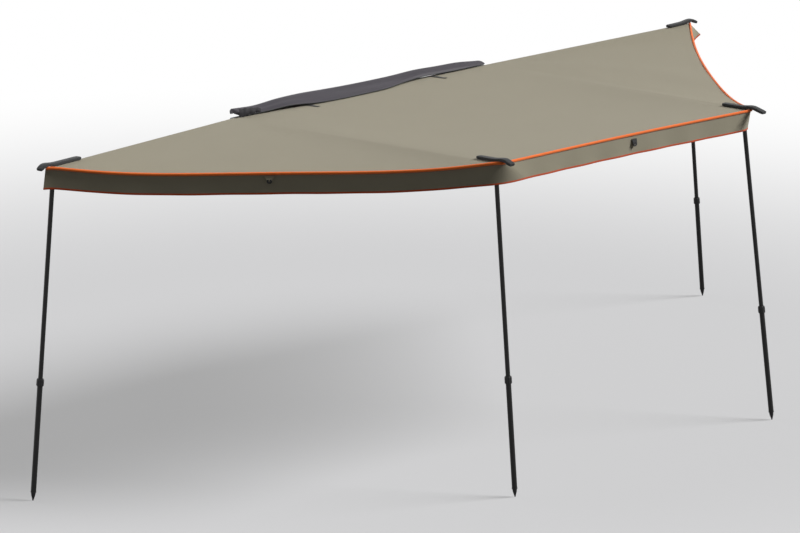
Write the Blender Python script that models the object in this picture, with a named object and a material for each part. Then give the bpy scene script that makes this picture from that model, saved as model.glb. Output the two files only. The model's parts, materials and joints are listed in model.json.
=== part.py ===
"""Vehicle side awning: a rail on the side of a roof rack carries two hinges, and each
hinge carries two arms that hold a khaki canopy open over the side and the rear corner.

Metres, +Z up. X runs along the vehicle, -Y points away from it. The origin is the middle
of the back face of the middle rack bracket, which is what bolts to the rack. The arms are
numbered 1 to 4 from the front of the vehicle to its rear, and each has a folding,
telescopic leg with the same number.
"""

import math
from dataclasses import dataclass

import bmesh
import bpy
from mathutils import Matrix, Vector

CLEAR = 0.0003
RUNNING = 0.0008
THROUGH = 0.060
ROUND_SIDES = 20
SMOOTH_ANGLE = math.radians(35)

# Rail: an aluminium extrusion with a slot for the bracket bolts and a groove for the cloth
RAIL_LENGTH = 2.390
RAIL_DEPTH = 0.038
RAIL_BOTTOM = -0.045
RAIL_TOP = 0.030
BOLT_SLOT_MOUTH = 0.009
BOLT_SLOT_WIDTH = 0.017
BOLT_SLOT_DEPTH = 0.007
BOLT_SLOT_LIP = 0.003
CORD_GROOVE_BORE = 0.008
CORD_GROOVE_MOUTH = 0.003
CORD_GROOVE_RIM = 0.002
RAIL_CHAMFER = 0.003
RAIL_WALL = 0.0025

# Rack brackets: bent steel, hooked over the rail and slotted for two bolts
BRACKET_COUNT = 3
BRACKET_INSET = 0.335
BRACKET_WIDTH = 0.060
BRACKET_SHEET = 0.005
BRACKET_DROP = 0.125
BRACKET_LIP = 0.024
BRACKET_BEND = 0.003
SLOT_WIDTH = 0.0085
SLOT_LENGTH = 0.024
SLOT_PITCH = 0.030
SLOT_HEIGHT = -0.088

# Hinges
HINGE_INSET = 0.030
LANE_PITCH = 0.048
RAIL_TO_FRONT_PIN = 0.0527
PIN_DIAMETER = 0.012
PIN_HEAD_DIAMETER = 0.020
PIN_HEAD_HEIGHT = 0.003
PIN_TAIL = 0.0035
FORK_PLATE = 0.005
FORK_BACK = 0.006
FORK_NOSE_RADIUS = 0.018
FORK_WIDTH = 0.060
FORK_WEB_WIDTH = 0.050
FORK_WEB_STANDOFF = 0.043

# Arms: rectangular extrusions with a groove along each side
ARM_WIDTH = 0.025
ARM_HEIGHT = 0.038
ARM_WALL = 0.0022
ARM_CORNER = 0.004
ARM_GROOVE_DEPTH = 0.002
ARM_GROOVE_WIDTH = 0.009
KNUCKLE_RADIUS = 0.016
KNUCKLE_BLOCK_START = 0.034
ARM_START = 0.048
CRANK_INSET = 0.0006
PLUG_LENGTH = 0.032

# Arm tip and the leg's pivot below it
TIP_LENGTH = 0.028
TIP_BRIDGE_DROP = 0.012
LEG_PIVOT_DROP = 0.045
LEG_TONGUE = 0.012
LEG_TONGUE_RADIUS = 0.0115
LEG_CHEEK_RADIUS = 0.013
LEG_PIN_DIAMETER = 0.008
LEG_PIN_HEAD = 0.013
LEG_PIN_HEAD_HEIGHT = 0.0022

# Legs
GROUND = -1.940
UPPER_TUBE_DIAMETER = 0.028
UPPER_TUBE_WALL = 0.0015
LOWER_TUBE_DIAMETER = 0.033
LOWER_TUBE_WALL = 0.0018
LEG_SOCKET_START = 0.016
LEG_SOCKET_LENGTH = 0.014
LEG_SOCKET_DIAMETER = 0.030
LEG_PLUG_LENGTH = 0.030
LOWER_LENGTH = 0.750
TUBE_OVERLAP = 0.120
COLLAR_DIAMETER = 0.046
COLLAR_HEIGHT = 0.047
COLLAR_SKIRT = 0.028
COLLAR_FLUTES = 12
COLLAR_FLUTE_DEPTH = 0.0016
SPIKE_LENGTH = 0.052
SPIKE_FLANGE = 0.005
SPIKE_FLANGE_DIAMETER = 0.036
SPIKE_TIP_DIAMETER = 0.006
SPIKE_PLUG = 0.022

# Canopy and valance
CLOTH = 0.0015
CANOPY_END_INSET = 0.010
SEAM_GAP = 0.0003
ARM_REST = 0.014
FAN_HOLLOW = 0.068
FAN_SAG = 0.062
FAN_SAG_GROWTH = 1.8
OUTER_HOLLOW = 0.035
OUTER_SAG = 0.003
MIDDLE_SAG = 0.026
VALANCE_HEIGHT = 0.124
VALANCE_WAVE = 0.005
VALANCE_WAVES = 9
VALANCE_CORNER_GAP = 0.004
FAN_START = 0.030
FAN_ROWS = 10
FAN_COLUMNS = 16
MIDDLE_ROWS = 10
MIDDLE_COLUMNS = 16
VALANCE_ROWS = 3
VALANCE_COLUMNS = 26

# Corner sleeves: padded black tabs over the arm tips
SLEEVE_WIDTH = 0.046
SLEEVE_CREST = 0.020
SLEEVE_DROOP = 0.014
SLEEVE_LIFT = 0.0008
SLEEVE_OVERHANG = 0.015
SLEEVE_SHELL_SIDES = 8

# Cover: the storage bag, opened and thrown back over the rail
COVER_FRONT = -0.046
COVER_BACK = 0.050
COVER_CREST = 0.066
COVER_END_CREST = 0.030
COVER_STATIONS = 25
COVER_SIDES = 14
STRAP_WIDTH = 0.025
STRAP_THICKNESS = 0.003
STRAP_PLACES = (-0.560, 0.655)
STRAP_REACH = 0.0095


@dataclass(frozen=True)
class Arm:
    """One arm: its hinge, which side of the pin its tube runs, and how it stands open."""

    number: int
    pin: Vector
    side: int
    reach: float
    bearing: float
    rise: float
    splay: float
    upper_knuckle: bool
    corner_reach: float
    sleeve_inner: float
    sleeve_outer: float

    @property
    def lane(self) -> float:
        """Signed distance from the pin to the tube's middle, to the left of its heading."""
        return self.side * LANE_PITCH / 2

    @property
    def heading(self) -> float:
        """The tube's own direction in plan, which the lane turns a little off the bearing."""
        return math.radians(self.bearing) - math.asin(self.lane / self.reach)

    @property
    def length(self) -> float:
        """From the pin to the leg's pivot, along the tube in plan."""
        return math.sqrt(self.reach**2 - self.lane**2)

    @property
    def tilt(self) -> float:
        """How steeply the tube climbs towards its tip."""
        return math.atan(self.rise / self.length)

    @property
    def frame(self) -> Matrix:
        """x along the tube, y to its left, z up, from beside the pin."""
        turn = Matrix.Rotation(self.heading, 4, "Z")
        climb = Matrix.Rotation(-self.tilt, 4, "Y")
        return Matrix.Translation(self.pin) @ turn @ Matrix.Translation((0, self.lane, 0)) @ climb

    @property
    def tip(self) -> float:
        """Where the leg's pivot lies along the frame's x."""
        return self.length / math.cos(self.tilt)

    @property
    def leg_frame(self) -> Matrix:
        """x down the leg towards its foot, y along the pivot pin, from the pivot."""
        pivot = self.frame @ Vector((self.tip, 0, -LEG_PIVOT_DROP))
        out = Vector((math.cos(self.heading), math.sin(self.heading), 0))
        foot = Vector((pivot.x, pivot.y, GROUND)) + out * self.splay
        down = (foot - pivot).normalized()
        left = Vector((-out.y, out.x, 0))
        turn = Matrix((down, left, down.cross(left))).transposed().to_4x4()
        return Matrix.Translation(pivot) @ turn

    @property
    def leg_length(self) -> float:
        """From the pivot to the foot's point."""
        pivot = self.leg_frame.translation
        return math.hypot(self.splay, pivot.z - GROUND)

    def corner(self) -> Vector:
        """The canopy's corner, past the arm's tip, in the middle of the cloth."""
        return self.frame @ Vector((self.tip + self.corner_reach, 0, CANOPY_OVER_ARM))


RAIL_FRONT = -BRACKET_SHEET - CLEAR - RAIL_DEPTH
GROOVE_PLACE = RAIL_FRONT + RAIL_CHAMFER + CORD_GROOVE_BORE / 2 + CORD_GROOVE_RIM
HINGE_HALF = RAIL_LENGTH / 2 - HINGE_INSET
FRONT_PIN = Vector((-HINGE_HALF, RAIL_FRONT - RAIL_TO_FRONT_PIN, 0))
REAR_PIN = Vector((HINGE_HALF, FRONT_PIN.y - 2 * LANE_PITCH, 0))
CANOPY_ROOT_HALF = RAIL_LENGTH / 2 - CANOPY_END_INSET
CANOPY_ROOT_HEIGHT = RAIL_TOP + CLEAR + CLOTH / 2
CANOPY_OVER_ARM = ARM_HEIGHT / 2 + CLEAR + CLOTH / 2
COVER_HALF_LENGTH = RAIL_LENGTH / 2
COVER_BASE = RAIL_TOP + CLEAR + BRACKET_SHEET + CLEAR

ARMS = (
    Arm(1, FRONT_PIN, -1, 1.9115, 189.2, 0.059, 0.262, True, 0.070, 0.290, 0.157),
    Arm(2, FRONT_PIN, 1, 2.2365, 267.9, 0.090, 0.180, False, 0.065, 0.160, 0.153),
    Arm(3, REAR_PIN, -1, 2.1415, 268.7, 0.049, 0.290, False, 0.065, 0.185, 0.190),
    Arm(4, REAR_PIN, 1, 1.8860, -2.65, 0.073, 0.225, True, 0.028, 0.200, 0.095),
)

PAINTS = {
    "anodised_aluminium": ("8C8E90", 0.35, 1.0),
    "black_steel": ("232425", 0.45, 0.6),
    "zinc_steel": ("A4A6A8", 0.35, 1.0),
    "black_coated_tube": ("242425", 0.42, 0.3),
    "black_nylon": ("1E1E1F", 0.55, 0.0),
    "khaki_canvas": ("9B9586", 0.90, 0.0),
    "black_webbing": ("29292B", 0.85, 0.0),
    "charcoal_cover": ("555157", 0.80, 0.0),
}


def linear(hex_colour):
    """An sRGB hex colour as Blender's linear RGBA."""
    parts = [int(hex_colour[i : i + 2], 16) / 255 for i in (0, 2, 4)]
    return [*(((c + 0.055) / 1.055) ** 2.4 if c > 0.04045 else c / 12.92 for c in parts), 1.0]


def paint(name):
    """The material of that name, made the first time that it is asked for."""
    found = bpy.data.materials.get(name)
    if found:
        return found
    colour, roughness, metallic = PAINTS[name]
    material = bpy.data.materials.new(name)
    material.use_nodes = True
    shader = material.node_tree.nodes["Principled BSDF"]
    shader.inputs["Base Color"].default_value = linear(colour)
    shader.inputs["Roughness"].default_value = roughness
    shader.inputs["Metallic"].default_value = metallic
    return material


def clear_scene():
    """Starts from an empty scene."""
    for old in list(bpy.data.objects):
        bpy.data.objects.remove(old, do_unlink=True)


def pivot(name, world, parent=None):
    """An empty on a joint's axis, which the pieces of a moving body hang from."""
    empty = bpy.data.objects.new(name, None)
    empty.empty_display_size = 0.05
    bpy.context.scene.collection.objects.link(empty)
    seat(empty, world, parent)
    return empty


def world_of(thing):
    """Where an object stands in the world, through its parents."""
    if thing is None:
        return Matrix.Identity(4)
    return world_of(thing.parent) @ thing.matrix_basis


def seat(thing, world, parent):
    """Places an object in the world under a parent."""
    thing.parent = parent
    thing.matrix_parent_inverse = Matrix.Identity(4)
    thing.matrix_basis = world_of(parent).inverted() @ world
    return thing


def piece(name, bm, finish, parent=None, world=None, smooth=True):
    """Turns a bmesh, drawn in the parent's own axes unless world says otherwise, into a node."""
    bmesh.ops.remove_doubles(bm, verts=bm.verts, dist=1e-6)
    bmesh.ops.recalc_face_normals(bm, faces=bm.faces)
    mesh = bpy.data.meshes.new(name)
    bm.to_mesh(mesh)
    bm.free()
    if smooth:
        mesh.shade_smooth()
        mesh.set_sharp_from_angle(angle=SMOOTH_ANGLE)
    mesh.materials.append(paint(finish))
    made = bpy.data.objects.new(name, mesh)
    bpy.context.scene.collection.objects.link(made)
    seat(made, world_of(parent) if world is None else world, parent)
    return made


def arc(centre, radius, start, end, steps):
    """Points on an arc, both ends included, angles in degrees."""
    angles = [math.radians(start + (end - start) * i / steps) for i in range(steps + 1)]
    return [(centre[0] + radius * math.cos(a), centre[1] + radius * math.sin(a)) for a in angles]


def rounded_box(width, height, radius, steps=2):
    """A rounded rectangle's outline about the origin, anticlockwise."""
    x, y = width / 2 - radius, height / 2 - radius
    corners = ((x, y, 0), (-x, y, 90), (-x, -y, 180), (x, -y, 270))
    return [p for cx, cy, a in corners for p in arc((cx, cy), radius, a, a + 90, steps)]


def loop(bm, points):
    """A closed loop of vertices and edges."""
    verts = [bm.verts.new(p) for p in points]
    edges = [bm.edges.new((a, b)) for a, b in zip(verts, verts[1:] + verts[:1])]
    return verts, edges


def prism(outline, near, far, inner=None, axes="xyz"):
    """An outline drawn in the first two axes and pushed from near to far along the third.

    inner is an outline of as many points that leaves a bore.
    """
    place = [axes.index(a) for a in "xyz"]

    def put(point, height):
        drawn = (point[0], point[1], height)
        return Vector([drawn[k] for k in place])

    bm = bmesh.new()
    verts, edges = loop(bm, [put(p, near) for p in outline])
    if inner:
        hole = loop(bm, [put(p, near) for p in inner])[1]
        faces = bmesh.ops.bridge_loops(bm, edges=edges + hole)["faces"]
    else:
        faces = [bm.faces.new(verts)]
    made = bmesh.ops.extrude_face_region(bm, geom=faces, use_keep_orig=True)["geom"]
    shift = put((0, 0), far) - put((0, 0), near)
    bmesh.ops.translate(bm, vec=shift, verts=[v for v in made if isinstance(v, bmesh.types.BMVert)])
    bmesh.ops.recalc_face_normals(bm, faces=bm.faces)
    return bm


def turned(profile, sides=ROUND_SIDES, axis="x"):
    """A profile of (radius, place along the axis) points turned once about that axis."""
    bm = bmesh.new()
    way = Vector((1, 0, 0)) if axis == "x" else Vector((0, 0, 1))
    out = Vector((0, 0, 1)) if axis == "x" else Vector((1, 0, 0))
    verts, edges = loop(bm, [way * h + out * r for r, h in profile])
    if profile[0][0] == 0 and profile[-1][0] == 0:
        bm.edges.remove(edges.pop())
    bmesh.ops.spin(
        bm,
        geom=verts + edges,
        cent=(0, 0, 0),
        axis=way,
        angle=math.tau,
        steps=sides,
        use_merge=True,
    )
    bmesh.ops.remove_doubles(bm, verts=bm.verts, dist=1e-6)
    bmesh.ops.recalc_face_normals(bm, faces=bm.faces)
    return bm


def moved(bm, matrix):
    """The same shape, moved."""
    bmesh.ops.transform(bm, matrix=matrix, verts=bm.verts)
    return bm


def bore_cut(diameter):
    """A cutter along z for the bore that a pin of that diameter turns in."""
    radius = (diameter / 2 + CLEAR) / math.cos(math.pi / ROUND_SIDES)
    return turned([(0, -THROUGH), (radius, -THROUGH), (radius, THROUGH), (0, THROUGH)], axis="z")


def shaped(body, add=(), cut=()):
    """One solid: a body with other shapes joined on and then shapes cut away."""

    def temporary(bm, label):
        mesh = bpy.data.meshes.new(label)
        bmesh.ops.recalc_face_normals(bm, faces=bm.faces)
        bm.to_mesh(mesh)
        bm.free()
        made = bpy.data.objects.new(label, mesh)
        bpy.context.scene.collection.objects.link(made)
        return made

    work = [temporary(body, "work")]
    for operation, group in (("UNION", add), ("DIFFERENCE", cut)):
        for bm in group:
            tool = temporary(bm, "tool")
            step = work[0].modifiers.new(operation.lower(), "BOOLEAN")
            step.operation = operation
            step.solver = "EXACT"
            step.object = tool
            work.append(tool)
    bpy.context.view_layer.update()
    graph = bpy.context.evaluated_depsgraph_get()
    result = bmesh.new()
    result.from_mesh(work[0].evaluated_get(graph).to_mesh())
    for old in work:
        bpy.data.objects.remove(old, do_unlink=True)
    bmesh.ops.remove_doubles(result, verts=result.verts, dist=1e-6)
    return result


def loft(rings):
    """A closed skin through rings of as many points each, with a cap at both ends."""
    bm = bmesh.new()
    rows = [[bm.verts.new(p) for p in ring] for ring in rings]
    for a, b in zip(rows, rows[1:]):
        for i, vert in enumerate(a):
            j = (i + 1) % len(a)
            bm.faces.new((vert, a[j], b[j], b[i]))
    bm.faces.new(rows[0])
    bm.faces.new(rows[-1])
    bmesh.ops.recalc_face_normals(bm, faces=bm.faces)
    return bm


def cloth(rows, thickness=CLOTH):
    """A closed sheet: a grid of points given half the thickness to each side."""
    bm = bmesh.new()
    grid = [[bm.verts.new(p) for p in row] for row in rows]
    for a, b in zip(grid, grid[1:]):
        for i in range(len(a) - 1):
            bm.faces.new((a[i], a[i + 1], b[i + 1], b[i]))
    bmesh.ops.recalc_face_normals(bm, faces=bm.faces)
    bm.normal_update()
    outward = {v: v.normal.copy() for v in bm.verts}
    for vert, normal in outward.items():
        vert.co += normal * thickness / 2
    bmesh.ops.solidify(bm, geom=bm.faces[:], thickness=thickness)
    return bm


def rail_outline():
    """The rail's cross-section in Y and Z: bolt slot behind, cord groove on top at the front."""
    back, front = RAIL_FRONT + RAIL_DEPTH, RAIL_FRONT
    top, low, cut = RAIL_TOP, RAIL_BOTTOM, RAIL_CHAMFER
    middle = 0.0
    half_mouth, half_slot = BOLT_SLOT_MOUTH / 2, BOLT_SLOT_WIDTH / 2
    lip, depth = back - BOLT_SLOT_LIP, back - BOLT_SLOT_DEPTH
    slot = [
        (back, middle + half_mouth),
        (lip, middle + half_mouth),
        (lip, middle + half_slot),
        (depth, middle + half_slot),
        (depth, middle - half_slot),
        (lip, middle - half_slot),
        (lip, middle - half_mouth),
        (back, middle - half_mouth),
    ]
    groove = (GROOVE_PLACE, top - CORD_GROOVE_BORE / 2 - CORD_GROOVE_RIM)
    open_angle = math.degrees(math.asin(CORD_GROOVE_MOUTH / CORD_GROOVE_BORE))
    bore = arc(groove, CORD_GROOVE_BORE / 2, 90 + open_angle, 450 - open_angle, 8)
    mouth = CORD_GROOVE_MOUTH / 2
    return [
        (front + cut, top),
        (groove[0] - mouth, top),
        *bore,
        (groove[0] + mouth, top),
        (back - cut, top),
        (back, top - cut),
        *slot,
        (back, low + cut),
        (back - cut, low),
        (front + cut, low),
        (front, low + cut),
        (front, top - cut),
    ]


def rail_chamber(near, far, low, high):
    """A cutter for one hollow of the rail, from end to end."""
    half = RAIL_LENGTH / 2 + THROUGH
    return prism([(near, low), (far, low), (far, high), (near, high)], -half, half, axes="yzx")


def make_rail():
    """The backbone that everything hangs from: an extrusion with three closed chambers."""
    half = RAIL_LENGTH / 2
    front, back = RAIL_FRONT + RAIL_WALL, RAIL_FRONT + RAIL_DEPTH - RAIL_WALL
    slot = BOLT_SLOT_WIDTH / 2
    under_groove = RAIL_TOP - CORD_GROOVE_RIM - CORD_GROOVE_BORE - RAIL_WALL
    chambers = [
        rail_chamber(front, back, RAIL_BOTTOM + RAIL_WALL, -slot - RAIL_WALL),
        rail_chamber(front, back - BOLT_SLOT_DEPTH, -slot, slot),
        rail_chamber(front, back, slot + RAIL_WALL, under_groove),
    ]
    body = prism(rail_outline(), -half, half, axes="yzx")
    piece("backbone_rail", shaped(body, cut=chambers), "anodised_aluminium")


def slot_cut(x, z):
    """A cutter for one upright bolt slot through a bracket."""
    reach = (SLOT_LENGTH - SLOT_WIDTH) / 2
    top = arc((x, z + reach), SLOT_WIDTH / 2, 0, 180, 5)
    low = arc((x, z - reach), SLOT_WIDTH / 2, 180, 360, 5)
    return prism(top + low, -2 * BRACKET_SHEET, BRACKET_SHEET, axes="xzy")


def make_bracket(name, x):
    """A bracket: a slotted plate behind the rail that hooks over its top."""
    sheet, bend = BRACKET_SHEET, BRACKET_BEND
    under = RAIL_TOP + CLEAR
    crown = under + sheet
    outer = bend + sheet
    low = -BRACKET_DROP
    outline = [
        (0, low),
        *arc((-outer, crown - outer), outer, 0, 90, 4),
        (-sheet - BRACKET_LIP, crown),
        (-sheet - BRACKET_LIP, under),
        (-sheet - CLEAR, under),
        (-sheet, under - CLEAR),
        (-sheet, low),
    ]
    plate = prism(outline, x - BRACKET_WIDTH / 2, x + BRACKET_WIDTH / 2, axes="yzx")
    slots = [slot_cut(x + s * SLOT_PITCH / 2, SLOT_HEIGHT) for s in (-1, 1)]
    piece(name, shaped(plate, cut=slots), "black_steel")


def fork_outline(pin, half):
    """One fork plate in plan: straight from the rail, round about the pin."""
    wall = RAIL_FRONT - CLEAR
    nose = arc((pin.x, pin.y), FORK_NOSE_RADIUS, 180, 360, 8)
    return [(pin.x - half, wall), (pin.x - half, wall - FORK_BACK), *nose,
            (pin.x + half, wall - FORK_BACK), (pin.x + half, wall)]


def make_hinge(name, pin):
    """A hinge fork on the rail: two plates, a web between them and the back that bolts on."""
    gap = ARM_HEIGHT / 2 + CLEAR
    outside = gap + FORK_PLATE
    wall = RAIL_FRONT - CLEAR
    half = FORK_WIDTH / 2
    back = [(pin.x - half, wall), (pin.x + half, wall),
            (pin.x + half, wall - FORK_BACK), (pin.x - half, wall - FORK_BACK)]
    body = prism(back, -outside, outside)
    plates = [prism(fork_outline(pin, half), near, near + FORK_PLATE) for near in (-outside, gap)]
    web_end = pin.y + FORK_WEB_STANDOFF
    if web_end < wall - FORK_BACK:
        web = FORK_WEB_WIDTH / 2
        box = [(pin.x - web, wall), (pin.x + web, wall), (pin.x + web, web_end), (pin.x - web, web_end)]
        plates.append(prism(box, -outside, outside))
    hole = moved(bore_cut(PIN_DIAMETER), Matrix.Translation(pin))
    piece(f"hinge_fork_{name}", shaped(body, plates, [hole]), "black_steel")

    head, stem = PIN_HEAD_DIAMETER / 2, PIN_DIAMETER / 2
    top = outside + CLEAR
    tail = -outside - PIN_TAIL
    profile = [
        (0, tail), (stem - 0.001, tail), (stem, tail + 0.001), (stem, top),
        (head, top), (head, top + PIN_HEAD_HEIGHT - 0.001),
        (head - 0.001, top + PIN_HEAD_HEIGHT), (0, top + PIN_HEAD_HEIGHT),
    ]
    piece(f"hinge_pin_{name}", moved(turned(profile, axis="z"), Matrix.Translation(pin)), "zinc_steel")


def arm_outline(shrink=0.0):
    """The arm's cross-section, grooved along both sides, drawn smaller for its inside."""
    x, y = ARM_WIDTH / 2 - shrink, ARM_HEIGHT / 2 - shrink
    radius = max(ARM_CORNER - shrink, 0.001)
    half, deep = ARM_GROOVE_WIDTH / 2 + shrink * 0.4, ARM_GROOVE_DEPTH
    right = [(x, -half), (x - deep, -half + deep), (x - deep, half - deep), (x, half)]
    left = [(-px, -py) for px, py in right]
    cx, cy = x - radius, y - radius
    return [
        *right,
        *arc((cx, cy), radius, 0, 90, 2),
        *arc((-cx, cy), radius, 90, 180, 2),
        *left,
        *arc((-cx, -cy), radius, 180, 270, 2),
        *arc((cx, -cy), radius, 270, 360, 2),
    ]


def plug_outline():
    """What fits inside the arm, clear of its grooves."""
    width = ARM_WIDTH - 2 * (ARM_WALL + ARM_GROOVE_DEPTH + CLEAR)
    height = ARM_HEIGHT - 2 * (ARM_WALL + CLEAR)
    return rounded_box(width, height, 0.002)


def make_arm(arm, hub):
    """The arm's tube, drawn in the hub's axes: x along it, from beside the pin."""
    name = f"arm_{arm.number}"
    start, end = ARM_START, arm.tip - TIP_LENGTH / 2
    tube = prism(arm_outline(), start, end, inner=arm_outline(ARM_WALL), axes="yzx")
    piece(f"{name}_tube", tube, "anodised_aluminium", hub)
    make_knuckle(arm, hub)
    make_tip(arm, hub)
    make_sleeve(arm, hub)


def make_knuckle(arm, hub):
    """The cranked end: half as high where the two arms of a hinge share the pin."""
    level = Matrix.Rotation(arm.tilt, 4, "Y") @ Matrix.Translation((0, -arm.lane, 0))
    half = ARM_HEIGHT / 2
    low, high = (CLEAR / 2, half - CLEAR) if arm.upper_knuckle else (CLEAR - half, -CLEAR / 2)
    boss = turned([(0, low), (KNUCKLE_RADIUS, low), (KNUCKLE_RADIUS, high), (0, high)], axis="z")
    side, width = arm.side, ARM_WIDTH / 2 - CRANK_INSET
    inner, outer = arm.lane - side * width, arm.lane + side * width
    reach = KNUCKLE_BLOCK_START + 0.004
    crank = [
        (-0.004, -side * 0.006),
        (KNUCKLE_BLOCK_START * 0.5, -side * KNUCKLE_RADIUS * 0.75),
        (reach, inner),
        (reach, outer),
        (KNUCKLE_BLOCK_START * 0.45, outer),
        (-0.004, side * (KNUCKLE_RADIUS - 0.004)),
    ]
    shank = prism(crank, low + CRANK_INSET, high - CRANK_INSET)
    hole = bore_cut(PIN_DIAMETER)
    block = rounded_box(ARM_WIDTH, ARM_HEIGHT - 4 * CLEAR, ARM_CORNER)
    full = prism(block, KNUCKLE_BLOCK_START, ARM_START - CLEAR, axes="yzx")
    plug = prism(plug_outline(), ARM_START - 0.004, ARM_START + PLUG_LENGTH, axes="yzx")
    solid = shaped(moved(boss, level), [moved(shank, level), full, plug], [moved(hole, level)])
    piece(f"arm_{arm.number}_knuckle", solid, "black_nylon", hub)


def make_tip(arm, hub):
    """The end fitting: a plug in the tube and two cheeks that carry the leg's pin."""
    name = f"arm_{arm.number}_tip"
    half = TIP_LENGTH / 2
    near, far = arm.tip - half + CLEAR, arm.tip + half
    top, bridge = ARM_HEIGHT / 2, -ARM_HEIGHT / 2 - TIP_BRIDGE_DROP
    drop, radius = LEG_PIVOT_DROP, LEG_CHEEK_RADIUS
    cheek = [
        *arc((arm.tip, -drop), radius, 180, 360, 6),
        (far, bridge + 0.003),
        (far, top - 0.004),
        (far - 0.004, top),
        (near, top),
        (near, bridge + 0.003),
    ]
    body = prism(cheek, -ARM_WIDTH / 2, ARM_WIDTH / 2, axes="xzy")
    plug = prism(plug_outline(), near - PLUG_LENGTH, near + 0.004, axes="yzx")
    fork = LEG_TONGUE / 2 + CLEAR
    slot = [(arm.tip - THROUGH, bridge), (arm.tip - THROUGH, -drop - THROUGH),
            (arm.tip + THROUGH, -drop - THROUGH), (arm.tip + THROUGH, bridge)]
    gap = prism(slot, -fork, fork, axes="xzy")
    sideways = Matrix.Translation((arm.tip, 0, -drop)) @ Matrix.Rotation(math.pi / 2, 4, "X")
    hole = moved(bore_cut(LEG_PIN_DIAMETER), sideways)
    piece(name, shaped(body, [plug], [gap, hole]), "black_nylon", hub)


def make_sleeve(arm, hub):
    """The padded black tab sewn over the canopy's corner, drooping past the arm's tip."""
    low = CANOPY_OVER_ARM
    climb = (CANOPY_ROOT_HEIGHT - low) / (arm.tip + arm.corner_reach)
    flat = arm.corner_reach + SLEEVE_OVERHANG
    bank = {True: 0.0, False: 0.0}
    for other in ARMS:
        if abs(other.number - arm.number) == 1:
            step = arm.frame.inverted() @ other.corner() - arm.frame.inverted() @ arm.corner()
            bank[step.y > 0] = max(0.0, step.z / abs(step.y))
    stations = 12
    rings = []
    for i in range(stations + 1):
        share = i / stations
        along = -arm.sleeve_inner + (arm.sleeve_inner + arm.sleeve_outer) * share
        end = min(1.0, min(share, 1 - share) * 5 + 0.30)
        past = max(0.0, along - flat) / (arm.sleeve_outer - flat)
        fall = SLEEVE_DROOP * past**1.4
        ridge = low + climb * max(0.0, arm.corner_reach - along)
        base = ridge + CLOTH / 2 + SLEEVE_LIFT
        width, crest = SLEEVE_WIDTH / 2 * (0.80 + 0.20 * end), SLEEVE_CREST * (0.45 + 0.55 * end)
        ring = []
        for k in range(SLEEVE_SHELL_SIDES + 1):
            a = math.pi * k / SLEEVE_SHELL_SIDES
            y = width * math.cos(a)
            z = base - fall + bank[y > 0] * abs(y) + crest * math.sin(a) ** 0.8
            ring.append(Vector((arm.tip + along, y, z)))
        rings.append(ring)
    piece(f"corner_sleeve_{arm.number}", loft(rings), "black_webbing", hub)


def make_leg(arm, hub):
    """A leg that folds under its arm: head, two tubes, a twist collar and a spike."""
    tag = f"leg_{arm.number}"
    fold = pivot(f"{tag}_fold", arm.leg_frame, hub)
    length = arm.leg_length
    make_leg_head(tag, fold)
    make_leg_pin(tag, arm, hub)
    socket_end = LEG_SOCKET_START + LEG_SOCKET_LENGTH
    collar_top = length - LOWER_LENGTH
    outer, inner = UPPER_TUBE_DIAMETER / 2, UPPER_TUBE_DIAMETER / 2 - UPPER_TUBE_WALL
    start, end = socket_end + CLEAR, collar_top + TUBE_OVERLAP
    ring = [(outer, start), (outer, end), (inner, end), (inner, start)]
    piece(f"{tag}_upper_tube", turned(ring), "black_coated_tube", fold)

    slide = pivot(f"{tag}_slide", world_of(fold), fold)
    outer = LOWER_TUBE_DIAMETER / 2
    inner = outer - LOWER_TUBE_WALL
    start = collar_top + COLLAR_HEIGHT - COLLAR_SKIRT
    end = length - SPIKE_LENGTH - SPIKE_FLANGE - CLEAR
    ring = [(outer, start), (outer, end), (inner, end), (inner, start)]
    piece(f"{tag}_lower_tube", turned(ring), "black_coated_tube", slide)
    make_spike(tag, length, inner, slide)
    twist = pivot(f"{tag}_twist", world_of(fold), slide)
    make_collar(tag, collar_top, twist)


def make_leg_head(tag, fold):
    """The leg's top fitting: a tongue for the pin, a shoulder and a plug for the tube."""
    shoulder, plug = LEG_SOCKET_DIAMETER / 2, UPPER_TUBE_DIAMETER / 2 - UPPER_TUBE_WALL - CLEAR
    begin, end = LEG_SOCKET_START, LEG_SOCKET_START + LEG_SOCKET_LENGTH
    plug *= math.cos(math.pi / ROUND_SIDES)
    body = turned([
        (0, begin), (shoulder - 0.003, begin), (shoulder, begin + 0.003), (shoulder, end),
        (plug, end), (plug, end + LEG_PLUG_LENGTH), (0, end + LEG_PLUG_LENGTH),
    ])
    radius = LEG_TONGUE_RADIUS
    tongue = [(begin + 0.003, -radius), (begin + 0.003, radius), *arc((0, 0), radius, 90, 270, 8)]
    plate = prism(tongue, -LEG_TONGUE / 2, LEG_TONGUE / 2, axes="xzy")
    hole = moved(bore_cut(LEG_PIN_DIAMETER), Matrix.Rotation(math.pi / 2, 4, "X"))
    piece(f"{tag}_head", shaped(body, [plate], [hole]), "black_nylon", fold)


def make_leg_pin(tag, arm, hub):
    """The rivet that a leg folds about."""
    stem, head = LEG_PIN_DIAMETER / 2, LEG_PIN_HEAD / 2
    half = ARM_WIDTH / 2 + CLEAR
    outer = half + LEG_PIN_HEAD_HEIGHT
    profile = [
        (0, -outer), (head - 0.001, -outer), (head, -half - 0.0008), (head, -half), (stem, -half),
        (stem, half), (head, half), (head, half + 0.0008), (head - 0.001, outer), (0, outer),
    ]
    across = Matrix.Translation((arm.tip, 0, -LEG_PIVOT_DROP)) @ Matrix.Rotation(math.pi / 2, 4, "X")
    piece(f"{tag}_pivot_rivet", moved(turned(profile, axis="z"), across), "zinc_steel", hub)


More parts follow.
